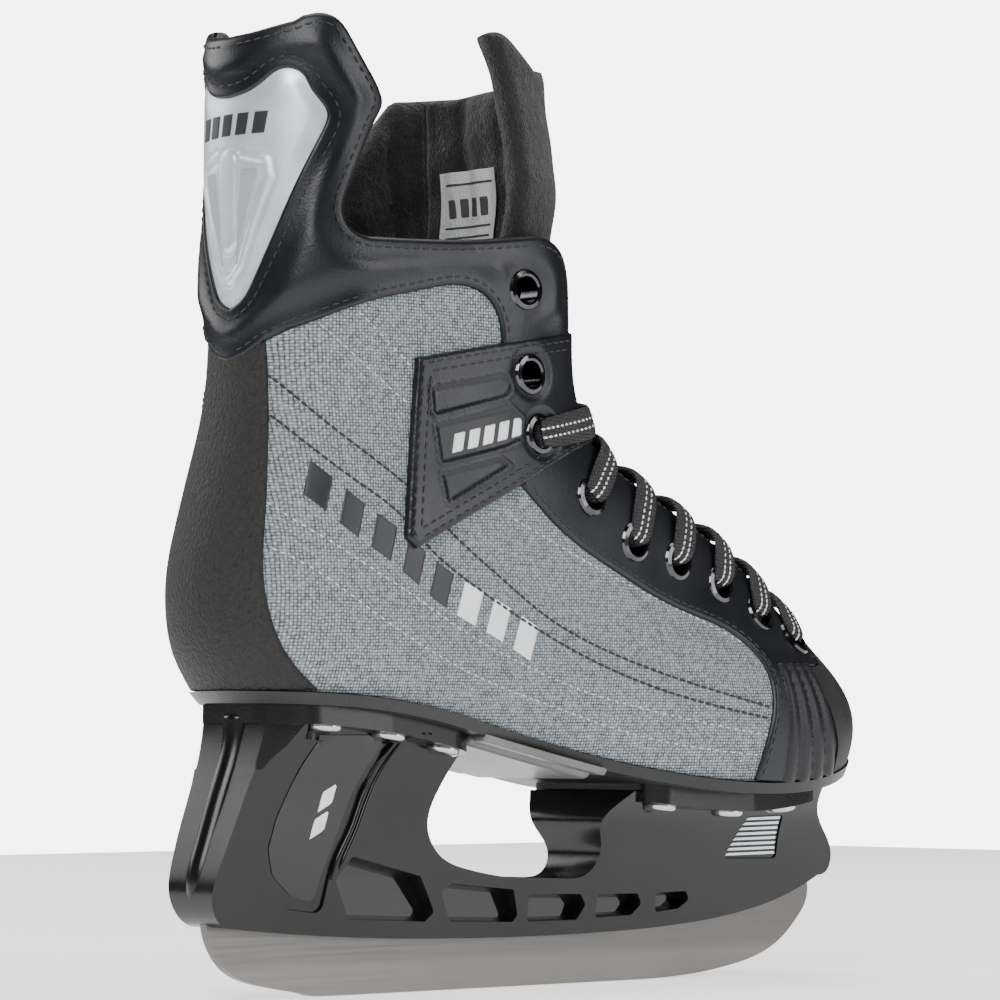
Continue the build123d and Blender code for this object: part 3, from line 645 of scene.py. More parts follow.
# ------------------------------------------------- lines of the upper, side view
SOLE_EDGE = [
    (-98, 85.2), (-90, 84.8), (-70, 82.8), (-50, 79.3), (-30, 74.8), (-10, 70.3), (10, 66.1),
    (30, 62.5), (50, 60.1), (66, 59.4),
]
THROAT = [
    (-9, 203), (-8, 190), (-6, 172), (3, 157.5), (18, 148), (37, 139), (56.5, 130), (76, 120), (90, 113.5),
]
PATCH_TOP, PATCH_LOW = 189.5, 158.0          # heights where the patch meets the throat
FLEX_LOW, FLEX_HIGH = 0.200, 0.224           # heights passed to bent() for the guard, in metres; not used there
FOLD_LOW, FOLD_HIGH = 0.206, 0.226           # heights passed to bent() for the tongue, in metres; not used there
EYELETS = [
    (-29.5, 200), (-27.6, 176), (-23.7, 159), (-3.4, 142), (15, 129.5), (34.2, 124.5), (54, 118),
    (71.5, 109.5), (86, 102),
]
EYELET_PLACES = [place_of((x, -90, z), (0, 1, 0)) for x, z in EYELETS]
EYELET_HOLE = 4.4
SIDES = {"lateral": -1, "medial": 1}


def on_side(line, hand):
    return line if hand < 0 else flip(line)


def throat_between(high, low):
    """Part of the throat edge between two heights."""
    line = along(THROAT, 1.0)
    line = line[(line[:, 1] <= high) & (line[:, 1] >= low)]
    return side(line, bend=False)


def bodied(obj, *nodes):
    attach(obj, "boot")
    if nodes:
        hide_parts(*nodes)
    return obj


def bent(obj, child, low, high, *nodes):
    """The piece's placement is baked into its mesh and the CAD nodes it stands for are hidden; child, low and
    high are not used.
    """
    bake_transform(obj)
    if nodes:
        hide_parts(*nodes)
    return obj


def ink_bars(name, corners, finish, body="boot", lift=0.12, base=0.02, step=1.0):
    """Flat printed bars on the form, from their corner outlines in side view places."""
    made = []
    for index, loop in enumerate(corners):
        edges = [(closed_line(loop), base, 0.15)]
        made.append(panel(f"{name}_{index + 1}", loop, sewn(lift, edges, under=-0.2), finish, step))
        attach(made[-1], body)
    return made


# --------------------------------------------------------------- quarter fabric
FABRIC_FRONT = [(66, 59.4), (68.5, 72), (70, 86), (67, 97), (60, 104.5), (36, 114), (12, 124), (-12, 137),
    (-22, 149)]
FABRIC_UPPER = [(-26, 160), (-32, 178), (-34, 190), (-42, 202), (-52, 204), (-64, 202), (-85, 197),
    (-98, 190)]
quarter_loop = join(
    side(SOLE_EDGE), side(FABRIC_FRONT), side(FABRIC_UPPER),
    back([(10, 186), (13, 150), (17, 115), (20, 86.5)]),
)
quarter_heights = sewn(0.0, [(closed_line(quarter_loop), -0.5, 0.6)])
for name, hand in SIDES.items():
    quarter = panel(f"quarter_fabric_{name}", on_side(quarter_loop, hand), quarter_heights,
        (NYLON, "nylon"), 2.6)
    bodied(quarter, f"quarter_{name}")

DARK_LINES = [
    [(-103.8, 173.6), (-100.4, 168.1), (-92.8, 158.9), (-83.5, 151.7), (-70, 142.5), (-55.7, 130.2),
    (-38, 118),
     (-19.5, 107.1), (3, 97.9), (34.1, 88.6), (65.5, 81.2)],
    [(-105, 163.3), (-99.8, 155.2), (-88.5, 144.8), (-73.3, 135), (-64.5, 126.6), (-45.3, 114.2),
    (-17.2, 101.1),
     (16.1, 88.8), (37.6, 83.1), (65, 78)],
]
PALE_LINES = [
    [(-94.4, 187.3), (-83.9, 177.3), (-68, 165)],
    [(-84.6, 191.2), (-76, 183.8), (-67, 175.5)],
    [(-109.5, 139.1), (-104.4, 133.2), (-95.7, 126.9), (-82.9, 119.5), (-66.7, 111), (-48.3, 101.5),
    (-28.9, 94.1),
     (-5.1, 86.4), (17, 81.3), (38, 77.2), (64, 73.2)],
    [(-109.5, 125), (-99.7, 118.6), (-80.3, 106.3), (-47.8, 91.1), (-13.5, 81.5), (23.7, 72), (62.2, 67.2)],
    [(-33.8, 134.8), (-11.1, 125.8), (15.7, 116.2), (42.3, 107.3), (63, 99)],
]


def flat_height(height):
    """Height function for rows that lie at one height above the form."""
    return lambda places, points: (np.full(len(points), height), None)


for name, hand in SIDES.items():
    dark = [(on_side(side(line, step=1.0), hand), flat_height(-0.05)) for line in DARK_LINES]
    pale = [(on_side(side(line, step=1.0), hand), flat_height(-0.12)) for line in PALE_LINES]
    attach(stitches(f"quarter_dark_stitching_{name}", dark, (BLACK_THREAD, "lace"), 2.5, 2.7, 0.8), "boot")
    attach(stitches(f"quarter_pale_stitching_{name}", pale, (PALE_THREAD, "label"), 1.7, 2.9, 0.42), "boot")

# Eight slanted bars printed along the side, five black and three white.
BAR_BASE = along([(-101, 139.5), (-90, 130), (-75, 120.5), (-61.4, 111.1), (-40, 101.5), (-21, 92.5)], 0.5)
BAR_COUNT, BAR_DARK = 8, 5
BAR_TALL, BAR_FILL, BAR_SLANT = 9.5, 0.62, 2.6
for index in range(BAR_COUNT):
    first = int(index * (len(BAR_BASE) - 1) / BAR_COUNT)
    last = int((index + BAR_FILL) * (len(BAR_BASE) - 1) / BAR_COUNT)
    lower = BAR_BASE[first:last + 1]
    upper = lower + np.array([BAR_SLANT, BAR_TALL])
    corner = join(side(lower, False, 0.8), side([lower[-1], upper[-1]], False, 0.8),
                  side(upper[::-1], False, 0.8), side([upper[0], lower[0]], False, 0.8))
    shade = (BLACK_PRINT, "black_pu") if index < BAR_DARK else (WHITE_PRINT, "label")
    for name, hand in SIDES.items():
        ink_bars(f"side_bar_{name}_{index + 1}", [on_side(corner, hand)], shade, step=1.6)

# ------------------------------------------------------------------- eyestays
STAY_FABRIC_EDGE = [
    (59.6, 61), (62, 71.9), (64.9, 83.8), (64.5, 93.5), (57.7, 101.6), (34.3, 110.1), (9.5, 119.8),
    (-15.3, 132),
    (-31.1, 144.3),
]
STAY_TOE = [(96.5, 107), (98.5, 101), (97, 95.2)]
STAY_RIBS = [(90, 93.7), (82, 93.9), (74.5, 94.0)]
stay_throat = throat_between(163.5, 113)
stay_loop = join(
    stay_throat, side(STAY_TOE), side(STAY_RIBS), side([(73.6, 92), (72.6, 80), (71.5, 59.2)]),
    side([(71.5, 59.2), (59.6, 60.0)], False), side(STAY_FABRIC_EDGE),
    side([(-31.1, 144.3), (-24, 156), (-4, 164)]),
)
stay_edges = [(closed_line(stay_loop), 0.1, 0.9), (stay_throat, -0.9, 2.0)]
stay_heights = sewn(1.25, stay_edges)
stay_holes = [circle(place, EYELET_HOLE) for place in EYELET_PLACES[3:]]


def inward(line, loop, depth):
    """A line moved into an outline by that depth, whichever way it runs."""
    moved = [shifted(line, way) for way in (depth, -depth)]
    moved.sort(key=lambda places: -inside(places, loop).mean())
    edge = form(*closed_line(loop).T)
    within = moved[0][inside(moved[0], loop)]
    return within[distance(form(*within.T), edge) > depth * 0.93]


stay_seams = [
    inward(side(STAY_FABRIC_EDGE, step=1.0), stay_loop, 1.9),
    inward(throat_between(156, 115), stay_loop, 2.4),
]
for name, hand in SIDES.items():
    stay = panel(
        f"eyestay_leather_{name}", on_side(stay_loop, hand), stay_heights, (LEATHER, "black_pu"), 2.4,
        [on_side(hole, hand) for hole in stay_holes],
    )
    bodied(stay, f"eyestay_{name}")
    rows = [(on_side(line, hand), stay_heights) for line in stay_seams]
    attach(stitches(f"eyestay_stitching_{name}", rows, (BLACK_THREAD, "lace")), "boot")

# ---------------------------------------------------------------- ankle patches
patch_throat = throat_between(PATCH_TOP, PATCH_LOW)
patch_top = side([(-66.5, 178.7), (-41.5, 183.6), (-8.2, PATCH_TOP)], False, 1.0)
patch_low = side([(2.3, PATCH_LOW), (-9, 154.5), (-18.9, 150.5), (-31.1, 144.3), (-49, 135.2),
    (-66, 126.4)], False, 1.0)
patch_rear = side([(-68.3, 125.2), (-72, 128), (-69.5, 152), (-66.5, 178.7)], False, 1.0)
patch_loop = join(patch_top, patch_throat, patch_low, patch_rear)
EMBOSSED = [
    [(-62.5, 170.5), (-38, 175.5), (-34.5, 172.5), (-37, 169), (-62, 162.5)],
    [(-61.5, 160), (-36, 166.5), (-31, 163), (-31.5, 157), (-38, 154.5), (-60, 149)],
    [(-60, 146.5), (-40, 151.5), (-36.5, 149.5), (-58, 138)],
]
EMBOSS_DEPTH, EMBOSS_WALL = 0.7, 0.9


def embossed(places, points):
    """Sunk panels of the ankle patch."""
    height = np.zeros(len(points))
    view = points[:, [0, 2]]
    for outline in EMBOSSED:
        outline = np.array(outline)
        line = np.vstack([outline, outline[:1]])
        gap = distance(view, line)
        within = inside(view, outline)
        height -= EMBOSS_DEPTH * np.where(within, ease(gap / EMBOSS_WALL), 0)
        height += 0.35 * np.where(within, 0, 1 - ease(gap / 1.1))
    return height


patch_eyelets = form(*np.array(EYELET_PLACES[1:3]).T)


def patch_relief(places, points):
    """Embossing, flat round the eyelets so that their rims stand on it."""
    gap = np.min([np.linalg.norm(points - spot, axis=1) for spot in patch_eyelets], axis=0)
    return embossed(places, points) - 0.95 * (1 - ease((gap - 6.2) / 2.4))


patch_edges = [(closed_line(patch_loop), 0.6, 1.0), (patch_throat, -0.6, 2.0)]
patch_heights = sewn(2.2, patch_edges, patch_relief)
patch_seams = [inward(line, patch_loop, depth) for line in (patch_top, patch_low, patch_rear)
    for depth in (2.0, 4.4)]
patch_holes = [circle(place, EYELET_HOLE) for place in EYELET_PLACES[1:3]]
PATCH_BARS = [[(-56 + 5.2 * k, 152.2 + 1.3 * k), (-52.4 + 5.2 * k, 153.1 + 1.3 * k),
    (-51.4 + 5.2 * k, 158.6 + 1.3 * k),
               (-55 + 5.2 * k, 157.7 + 1.3 * k)] for k in range(5)]
for name, hand in SIDES.items():
    if hand > 0:
        patch_eyelets = patch_eyelets * np.array([1, -1, 1])
    patch = panel(
        f"ankle_patch_leather_{name}", on_side(patch_loop, hand), patch_heights, (LEATHER, "black_pu"), 0.95,
        [on_side(hole, hand) for hole in patch_holes],
    )
    bodied(patch, f"ankle_patch_{name}")
    rows = [(on_side(line, hand), patch_heights) for line in patch_seams]
    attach(stitches(f"ankle_patch_stitching_{name}", rows, (BLACK_THREAD, "lace")), "boot")
    for index, bar in enumerate(PATCH_BARS):
        loop = side(bar + bar[:1], False, 0.7)[:-1]
        ink_bars(f"patch_bar_{name}_{index + 1}", [on_side(loop, hand)], (WHITE_PRINT, "label"), lift=1.75,
            base=1.5)

# -------------------------------------------------------------- toe-side ribs
RIB_COUNT, RIB_TOP, RIB_LOW = 4, 94.5, 59.0
ribs_loop = join(
    side([(69, RIB_TOP), (69.5, 76), (68.5, 59.3)]), side([(68.5, 59.3), (85, 60), (97.5, 62.0)]),
    side([(97.5, 62.0), (96.5, 70), (91, 83), (86, RIB_TOP)]), side([(86, RIB_TOP), (69, RIB_TOP)], False),
)


def ridges(places, points):
    """Upright ridges that fan out towards the sole."""
    share = (points[:, 2] - RIB_LOW) / (RIB_TOP - RIB_LOW)
    count = (points[:, 0] - 69.3) / (6.9 - 2.8 * share)
    return np.where(count < RIB_COUNT, 1.7 * np.abs(np.sin(math.pi * count)) ** 0.55, 0.35)


ribs_heights = sewn(0.5, [(closed_line(ribs_loop), -0.4, 0.8)], ridges)
for name, hand in SIDES.items():
    ribs = panel(f"vamp_ridges_{name}", on_side(ribs_loop, hand), ribs_heights, (RIB_LEATHER, "black_pu"),
        0.85)
    bodied(ribs, f"vamp_ribs_{name}")

# --------------------------------------------------------- collar, guard, strip
GUARD_TOP = [(0, 269.0), (8, 269.5), (19, 272)]
GUARD_FRONT = [(-97.5, 273.4), (-93, 274.2), (-89, 272.5), (-85.5, 268), (-80.5, 260), (-76.4, 253.2),
    (-75.6, 250),
               (-77.5, 245.5), (-83, 233.5), (-87, 223.5), (-87.8, 218), (-85.5, 214), (-80.5, 212.2)]
COLLAR_TOP = [(-80.5, 212.2), (-62, 212.6), (-45, 213.6), (-30, 215.4), (-20, 215.6), (-13.5, 212.6),
    (-10, 207), (-9, 203)]
COLLAR_LOW_BACK = [(12, 182.5), (6, 178.8), (0, 177.2)]
COLLAR_LOW = [(-37.5, 184.5), (-38.5, 191), (-42.5, 197), (-49, 199.7), (-64, 197.9), (-84.6, 192.6),
    (-99, 186)]
SHIELD = [(0, 251.2), (6, 252), (12, 255), (17.5, 258.3), (20, 257.6), (22.6, 252.5), (25.2, 246),
    (24.6, 241),
          (20.5, 228), (15.2, 214), (8.5, 200), (4.5, 194.5), (0, 192.3)]
collar_top = np.vstack([back(GUARD_TOP, step=1.0), side(GUARD_FRONT, step=1.0), side(COLLAR_TOP, step=1.0)])
collar_throat = throat_between(203, PATCH_TOP - 4)
collar_low = np.vstack([side(COLLAR_LOW, step=1.0), back(COLLAR_LOW_BACK, step=1.0)])
collar_half = join(collar_top, collar_throat, side([(-7.5, PATCH_TOP - 4), (-37.5, 183.5)], False),
    collar_low)
collar_loop = whole(collar_half)
shield_half = back(SHIELD, step=1.0)
shield_loop = whole(shield_half)[:-1]
rolled = join(collar_top, collar_throat)
shield_line = form(*closed_line(shield_loop).T)
collar_line = form(*closed_line(collar_loop).T)


top_eyelet = form(*np.array(EYELET_PLACES[:1]).T)[0]


def padding(places, points):
    """Soft crown between the seams of the collar."""
    gap = np.minimum(distance(points, collar_line), distance(points, shield_line))
    spot = np.linalg.norm(points - top_eyelet, axis=1)
    mirrored = np.linalg.norm(points * [1, -1, 1] - top_eyelet, axis=1)
    return 1.9 * ease((gap - 3.0) / 9.0) * ease((np.minimum(spot, mirrored) - 6.2) / 7.0)


collar_heights = sewn(
    1.3,
    [(closed_line(collar_loop), 0.1, 0.9), (rolled, -1.2, 2.6), (flip(rolled), -1.2, 2.6),
     (closed_line(shield_loop), 0.5, 0.9)],
    padding,
)
collar = panel(
    "collar_leather", collar_loop, collar_heights, (LEATHER, "black_pu"), 2.2,
    [shield_loop, circle(EYELET_PLACES[0], EYELET_HOLE), flip(circle(EYELET_PLACES[0], EYELET_HOLE))],
)
bent(collar, "tendon_guard", FLEX_LOW, FLEX_HIGH, "ankle_collar", "tendon_guard_shell", "guard_foam")
top_seam = inward(rolled, collar_half, 3.0)
low_seam = inward(collar_low, collar_half, 2.2)
shield_seam = shifted(sort_ccw(shield_loop), -3.4, True)
shield_seam = np.vstack([shield_seam, shield_seam[:1]])
rows = [(line, collar_heights) for line in (top_seam, flip(top_seam), low_seam, flip(low_seam), shield_seam)]
bent(stitches("collar_stitching", rows, (BLACK_THREAD, "lace")), "tendon_guard", FLEX_LOW, FLEX_HIGH)

SHIELD_UNDER = 1.8
MARK_BARS = 5


def shield_relief(places, points):
    """Domed face with a long raised oval between two raised ribs."""
    y, z = points[:, 1], points[:, 2]
    height = 0.5 * ease(distance(points, shield_line) / 5)
    oval = distance(np.column_stack([y, z]), np.array([(0, 233.0), (0, 211.5)]))
    height += 0.45 * (1 - ease((oval - 2.6) / 0.8))
    height -= 0.30 * (1 - ease(np.abs(oval - 3.9) / 0.7))
    for hand in (-1, 1):
        rib = np.array([(0, 200.0), (4.2 * hand, 204), (13.8 * hand, 228), (13 * hand, 233),
            (5.2 * hand, 235)])
        gap = distance(np.column_stack([y, z]), rib)
        height += 0.4 * (1 - ease(gap / 0.9)) - 0.25 * (1 - ease(np.abs(gap - 1.7) / 0.6))
    return height


shield_outline = shifted(sort_ccw(shield_loop), -SHIELD_UNDER, True)
shield_heights = sewn(0.5, [(closed_line(shield_outline), 0.0, 0.6)], shield_relief, under=-0.9)
shield = panel("guard_badge_plate", shield_outline, shield_heights, (SILVER, "silver_plastic"), 0.8)
bent(shield, "tendon_guard", FLEX_LOW, FLEX_HIGH, "guard_insert", "guard_insert_tip")


def badge_bar(corners, name, finish, low=0.9, high=1.15):
    """Small raised mark on the badge plate, from its corners in rear view."""
    loop = sort_ccw(back(list(corners) + [corners[0]], False, 0.6)[:-1])
    bar = panel(name, loop, lambda places, points: (
        shield_heights(places, points)[0] + high - low, shield_heights(places, points)[0] - 0.3), finish, 0.9)
    bent(bar, "tendon_guard", FLEX_LOW, FLEX_HIGH)


for index in range(MARK_BARS):
    left = -13.5 + index * 5.6
    corners = [(left, 240.5), (left + 3.6, 240.5), (left + 4.6, 246.5), (left + 1.0, 246.5)]
    badge_bar(corners, f"badge_bar_{index + 1}", (BLACK_PRINT, "black_pu"))
for name, hand in SIDES.items():
    wedge = [(3.0 * hand, 204.5), (10.5 * hand, 230.5), (5.6 * hand, 230.5)]
    badge_bar(wedge, f"badge_wedge_{name}", (SILVER_MARK, "black_plastic"))

strip_half = join(
    back([(0, 181.5), (12.2, 182.5)], False),
    back([(12.2, 182.5), (15, 160), (18.3, 140), (22, 110), (25, 92), (26.3, 86)]),
    back([(26.3, 86), (12, 85.8), (0, 85.6)]),
)
strip_heights = sewn(1.1, [(closed_line(whole(strip_half)), 0.05, 1.0)])
strip = panel("heel_back_strip", whole(strip_half), strip_heights, (SUEDE, "black_suede"), 2.4)
bodied(strip, "heel_strip")

# ---------------------------------------------------------------------- lining
LINING_FRONT = [(90, 113.5), (96, 104), (98, 90), (97, 74), (90, 63)]
lining_half = join(
    collar_top, collar_throat, throat_between(PATCH_TOP - 4, 113), side(LINING_FRONT), side(SOLE_EDGE[::-1]),
    back([(20, 86.5), (10, 86.2), (0, 86)]),
)
lining_line = form(*join(collar_top, throat_between(203, 113)).T)
lining_flip = form(*flip(join(collar_top, throat_between(203, 113))).T)


def lining_heights(places, points):
    gap = np.minimum(distance(points, lining_line), distance(points, lining_flip))
    shape = rounded(gap / 2.2)
    return -1.75 - 0.6 * (1 - shape), -2.4 - 2.2 * shape


lining_holes = [circle(place, EYELET_HOLE, 12) for place in EYELET_PLACES]
lining = panel(
    "boot_lining", whole(lining_half), lining_heights, (FELT, "felt"), 4.0,
    lining_holes + [flip(hole) for hole in lining_holes],
)
bent(lining, "tendon_guard", FLEX_LOW, FLEX_HIGH, "lining_lateral", "lining_medial", "guard_lining",
     "foam_lateral", "foam_medial")

# ---------------------------------------------------------------------- tongue
TONGUE_EDGE = [(-36.5, 274), (-33, 266), (-30, 254), (-28, 235), (-28, 216), (-27, 200), (-21, 176),
    (-8, 157),
               (12, 140), (34, 130), (56, 120), (78, 108), (94, 96)]
TONGUE_INNER_EDGE = [(-24, 261), (-31, 253), (-40, 240), (-45, 226), (-45, 210), (-40, 194), (-26, 176),
    (-8, 157),
                     (12, 140), (34, 130), (56, 120), (78, 108), (94, 96)]
TONGUE_WING = [(-36.5, 274), (-31, 275.5), (-24, 272), (-15, 266.5)]
TONGUE_THICK = 9.0
TONGUE_ROUND = 4.2
FOLD_PITCH = 12.5


def front(points, step=1.5):
    """Line on the front of the form, from its front view (y, z), on the outer side."""
    return np.array([place_of((250, -y, z), (-1, 0, 0)) for y, z in along(points, step)])


def whole_front(half, inner_half=None):
    """Closed outline across the front centreline from its outer half, and an inner half if it differs."""
    other = half if inner_half is None else inner_half
    return np.vstack([half, np.column_stack([2 - other[:, 0], other[:, 1]])[::-1]])


def tongue_depth(z):
    """How far the tongue's face lies inside the form: it opens out above the collar."""
    return 8.2 - 3.0 * ease((z - 196) / 14) - 3.6 * ease((z - 213) / 22)


tongue_half = join(
    front([(0, 263.5), (8, 263.6), (14, 264)]), side(TONGUE_WING[::-1]), side(TONGUE_EDGE),
    front([(20, 105), (10, 106.5), (0, 107)]),
)
tongue_inner_half = join(
    front([(0, 263.5), (8, 263), (14, 262.5)]), side([(-15, 262.5), (-22, 262)]), side(TONGUE_INNER_EDGE),
    front([(20, 105), (10, 106.5), (0, 107)]),
)
tongue_loop = whole_front(tongue_half, tongue_inner_half)
tongue_line = form(*closed_line(tongue_loop).T)


def tongue_heights(places, points):
    shape = rounded(distance(points, tongue_line) / TONGUE_ROUND)
    middle = -tongue_depth(points[:, 2]) - TONGUE_THICK / 2
    around = (places[:, 0] - 1) * 95.0
    channel = np.exp(-((np.mod(around, FOLD_PITCH) - FOLD_PITCH / 2) / 1.7) ** 2)
    lump = 0.5 * np.sin(points[:, 2] * 0.33 + around * 0.2)
    inner = TONGUE_THICK / 2 * shape + (lump - 1.6 * channel) * ease(shape)
    return middle + TONGUE_THICK / 2 * shape + 0.3 * lump * shape, middle - inner - 0.05


tongue = panel("tongue_pad", tongue_loop, tongue_heights, (FELT, "felt"), 1.7)
bent(tongue, "tongue_top", FOLD_LOW, FOLD_HIGH, "tongue_foam_lower", "tongue_foam_upper", "tongue_felt_lower",
     "tongue_felt_upper")

face_half = join(
    front([(0, 213), (12, 213)]),
    side([(-14, 212.5), (-22, 210), (-24.5, 205), (-24, 198), (-18, 177), (-5, 158), (14, 141.5), (36, 131),
          (58, 121), (80, 109), (92, 98)]),
    front([(18, 107), (9, 108.5), (0, 109)]),
)
face_loop = whole_front(face_half)
face_line = form(*closed_line(face_loop).T)


def face_heights(places, points):
    shape = rounded(distance(points, face_line) / 1.2)
    under = -tongue_depth(points[:, 2])
    return under + 0.2 + 1.1 * shape, under - 0.8


face = panel("tongue_face", face_loop, face_heights, (LEATHER, "black_pu"), 2.6)
bent(face, "tongue_top", FOLD_LOW, FOLD_HIGH, "tongue_facing_lower", "tongue_facing_upper")

# Small woven label sewn to the tongue's inner face, with plain printed bars.
LABEL_WIDTH, LABEL_HEIGHT = 27.0, 22.0
LABEL_LEFT, LABEL_LOW = -8.0, 219.0


def label_lift(points):
    return -tongue_depth(points[:, 2]) - TONGUE_THICK - 1.2 - 0.55 * np.sin(points[:, 1] * 0.55 + 0.8) * (
        0.4 + (points[:, 2] - LABEL_LOW) / LABEL_HEIGHT)


def label_place(across, up):
    """Place for a spot on the label, across its width and up its height."""
    return front([(-(LABEL_LEFT + across), LABEL_LOW + up),
        (-(LABEL_LEFT + across) + 0.01, LABEL_LOW + up)], 1)[0]


def label_patch(name, corners, finish, high, low, step):
    """Thin piece of the label, from corners in its own plane."""
    edge = along(list(corners) + [corners[0]], 1.0, False)[:-1]
    loop = np.array([label_place(a, b) for a, b in edge])
    piece = panel(name, loop, lambda places, points: (label_lift(points) + high, label_lift(points) + low),
        finish, step)
    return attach(piece, "tongue_top")


label = label_patch("tongue_label_cloth",
    [(0, 0), (LABEL_WIDTH, 0), (LABEL_WIDTH, LABEL_HEIGHT), (0, LABEL_HEIGHT)],
                    (LABEL_CLOTH, "label"), 0.15, -0.2, 1.4)
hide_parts("tongue_label")
for index in range(4):
    left = 4.5 + index * 5.0
    label_patch(f"label_bar_{index + 1}",
        [(left, 8.5), (left + 3.2, 8.5), (left + 4.0, 14), (left + 0.8, 14)],
                             (LABEL_INK, "black_plastic"), -0.1, -0.32, 1.2)
for index, height in enumerate((2.2, 5.2, 18.0)):
    label_patch(f"label_line_{index + 1}",
        [(2.5, height), (LABEL_WIDTH - 2.5, height), (LABEL_WIDTH - 2.5, height + 0.6),
                             (2.5, height + 0.6)], (LABEL_INK, "black_plastic"), -0.1, -0.32, 1.2)

# ------------------------------------------------------------------------ lace
LACED = EYELETS[2:]
LACE_WIDE, LACE_THICK = 9.4, 2.0
THROAT_MIDDLE = [(-3, 163), (8, 150), (25, 142), (42, 134), (60, 126), (78, 117), (93, 109)]
LACE_SECTION = 14            # points round the lace's section


def seat(x, z, hand):
    """Point and outward normal of the form at a spot in side view."""
    place = np.array([place_of((x, -90, z), (0, 1, 0))])
    if hand > 0:
        place = flip(place)
    points, normal, _, _ = form_frame(place)
    return points[0], normal[0]


def ribbon(name, path, finish):
    """Flat woven strip. path holds (point, normal, width), and the strip's section is a rounded flat oval."""
    points = np.array([p for p, _, _ in path])
    rest = np.column_stack([np.array([n for _, n, _ in path]), [w for _, _, w in path]])
    dense = along(np.column_stack([points, rest * 4]), 1.1)
    centre, normal, width = dense[:, :3], dense[:, 3:6], dense[:, 6] / 4
    tangent = np.gradient(centre, axis=0)
    tangent /= np.linalg.norm(tangent, axis=1)[:, None]
    normal -= (normal * tangent).sum(1)[:, None] * tangent
    normal /= np.linalg.norm(normal, axis=1)[:, None]
    across = np.cross(tangent, normal)
    vertices, faces = [], []
    for i in range(len(centre)):
        for k in range(LACE_SECTION):
            a = 2 * math.pi * k / LACE_SECTION
            flat = math.copysign(abs(math.cos(a)) ** 0.6, math.cos(a))
            tall = math.copysign(abs(math.sin(a)) ** 0.8, math.sin(a))
            vertices.append(
                centre[i] + across[i] * flat * width[i] / 2 + normal[i] * tall * LACE_THICK / 2)
    for i in range(len(centre) - 1):
        for k in range(LACE_SECTION):
            a, b = i * LACE_SECTION + k, i * LACE_SECTION + (k + 1) % LACE_SECTION
            faces.append((a, a + LACE_SECTION, b + LACE_SECTION, b))
    faces.append(tuple(range(LACE_SECTION)))
    last = (len(centre) - 1) * LACE_SECTION
    faces.append(tuple(last + k for k in reversed(range(LACE_SECTION))))
    return new_object(name, vertices, faces, *finish), centre, normal, across


def tracer(name, centre, normal, across, finish):
    """White dashes woven into the lace in two staggered rows."""
    vertices, faces = [], []
    for index in range(2, len(centre) - 2, 2):
        for row, shift in ((-1, 0.0), (1, 0.5)):
            run = centre[index + 1] - centre[index]
            raised = normal[index] * (LACE_THICK / 2 - 0.08)
            middle = centre[index] + run * shift + across[index] * row * 1.25 + raised
            first = len(vertices)
            for along_share, side_share in ((-1, -0.4), (0.2, -1), (1, 0.4), (-0.2, 1)):
                for lift in (-0.12, 0.16):
                    vertices.append(middle + run / np.linalg.norm(run) * along_share * 0.75
                                    + across[index] * side_share * 0.38 + normal[index] * lift)
            low, high = [first + 2 * k for k in range(4)], [first + 2 * k + 1 for k in range(4)]
            faces += [tuple(high), tuple(reversed(low))]
            faces += [(low[k], low[(k + 1) % 4], high[(k + 1) % 4], high[k]) for k in range(4)]
    return new_object(name, vertices, faces, *finish, smooth=False)


THROAT_UP = [np.array([math.sin(a), 0, math.cos(a)]) for a in
             (math.radians(v) for v in (72, 50, 32, 28, 27, 28, 30))]
for pair in range(len(LACED)):
    for name, hand in SIDES.items():
        x, z = LACED[pair]
        hole, out = seat(x, z, hand)
        upper = max(pair - 1, 0)
        (xa, za), (xb, zb) = THROAT_MIDDLE[pair], THROAT_MIDDLE[upper]
        edge, edge_out = seat(xa + 0.22 * (xb - xa), za + 0.22 * (zb - za), hand)
        if pair:
            far, far_out = seat(xb + 0.2 * (xa - xb), zb + 0.2 * (za - zb), -hand)
            end, end_out = seat(*LACED[upper], -hand)
        else:
            far, far_out = seat(-5, 168, -hand)
            end, end_out = seat(-12, 180, -hand)
        up = THROAT_UP[pair]
        over = 2.6 if hand < 0 else 0.8
        lead = (edge - hole) / np.linalg.norm(edge - hole)
        path = [
            (hole - out * 4.5 - lead * 0.5, lead * 0.9 + out * 0.1, 4.6),
            (hole - out * 0.5 + lead * 0.6, lead * 0.7 + out * 0.7, 6.6),
            (hole + out * 2.6 + lead * 2.6, out * 0.95 - lead * 0.1, 8.4),
            (hole * 0.45 + edge * 0.55 + out * 3.4, out, LACE_WIDE),
            (edge + edge_out * 2.6 + up * 1.2, edge_out * 0.6 + up * 0.6, LACE_WIDE),
            ((edge + far) / 2 + up * over, up, LACE_WIDE),
            (far - far_out * 3.4 - up * 1.0, far_out * 0.6 + up * 0.6, LACE_WIDE),
            (far * 0.5 + end * 0.5 - far_out * 6.6, far_out, LACE_WIDE - 1),
        ]
        strip_piece, centre, normal, across = ribbon(f"lace_{name}_{pair + 3}", path, (LACE_WEAVE, "lace"))
        bodied(strip_piece)
        if pair == 0 and hand < 0:
            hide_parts("lace")
        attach(tracer(f"lace_tracer_{name}_{pair + 3}", centre, normal, across, (PALE_THREAD, "label")),
            "boot")
bottom_bar = []
for share in np.linspace(-1, 1, 7):
    x, z = LACED[-1]
    point, out = seat(x + 3 * (1 - share * share), z + 2.0 * (1 - share * share), -1 if share < 0 else 1)
    point = point * np.array([1, abs(share), 1]) + np.array([0, 1.5 * (1 - abs(share)), 0])
    bottom_bar.append((point + THROAT_UP[-1] * (1.0 - 4.5 * share * share),
        THROAT_UP[-1] + out * 0.3 * abs(share), LACE_WIDE))
bodied(ribbon("lace_bottom_bar", bottom_bar, (LACE_WEAVE, "lace"))[0])

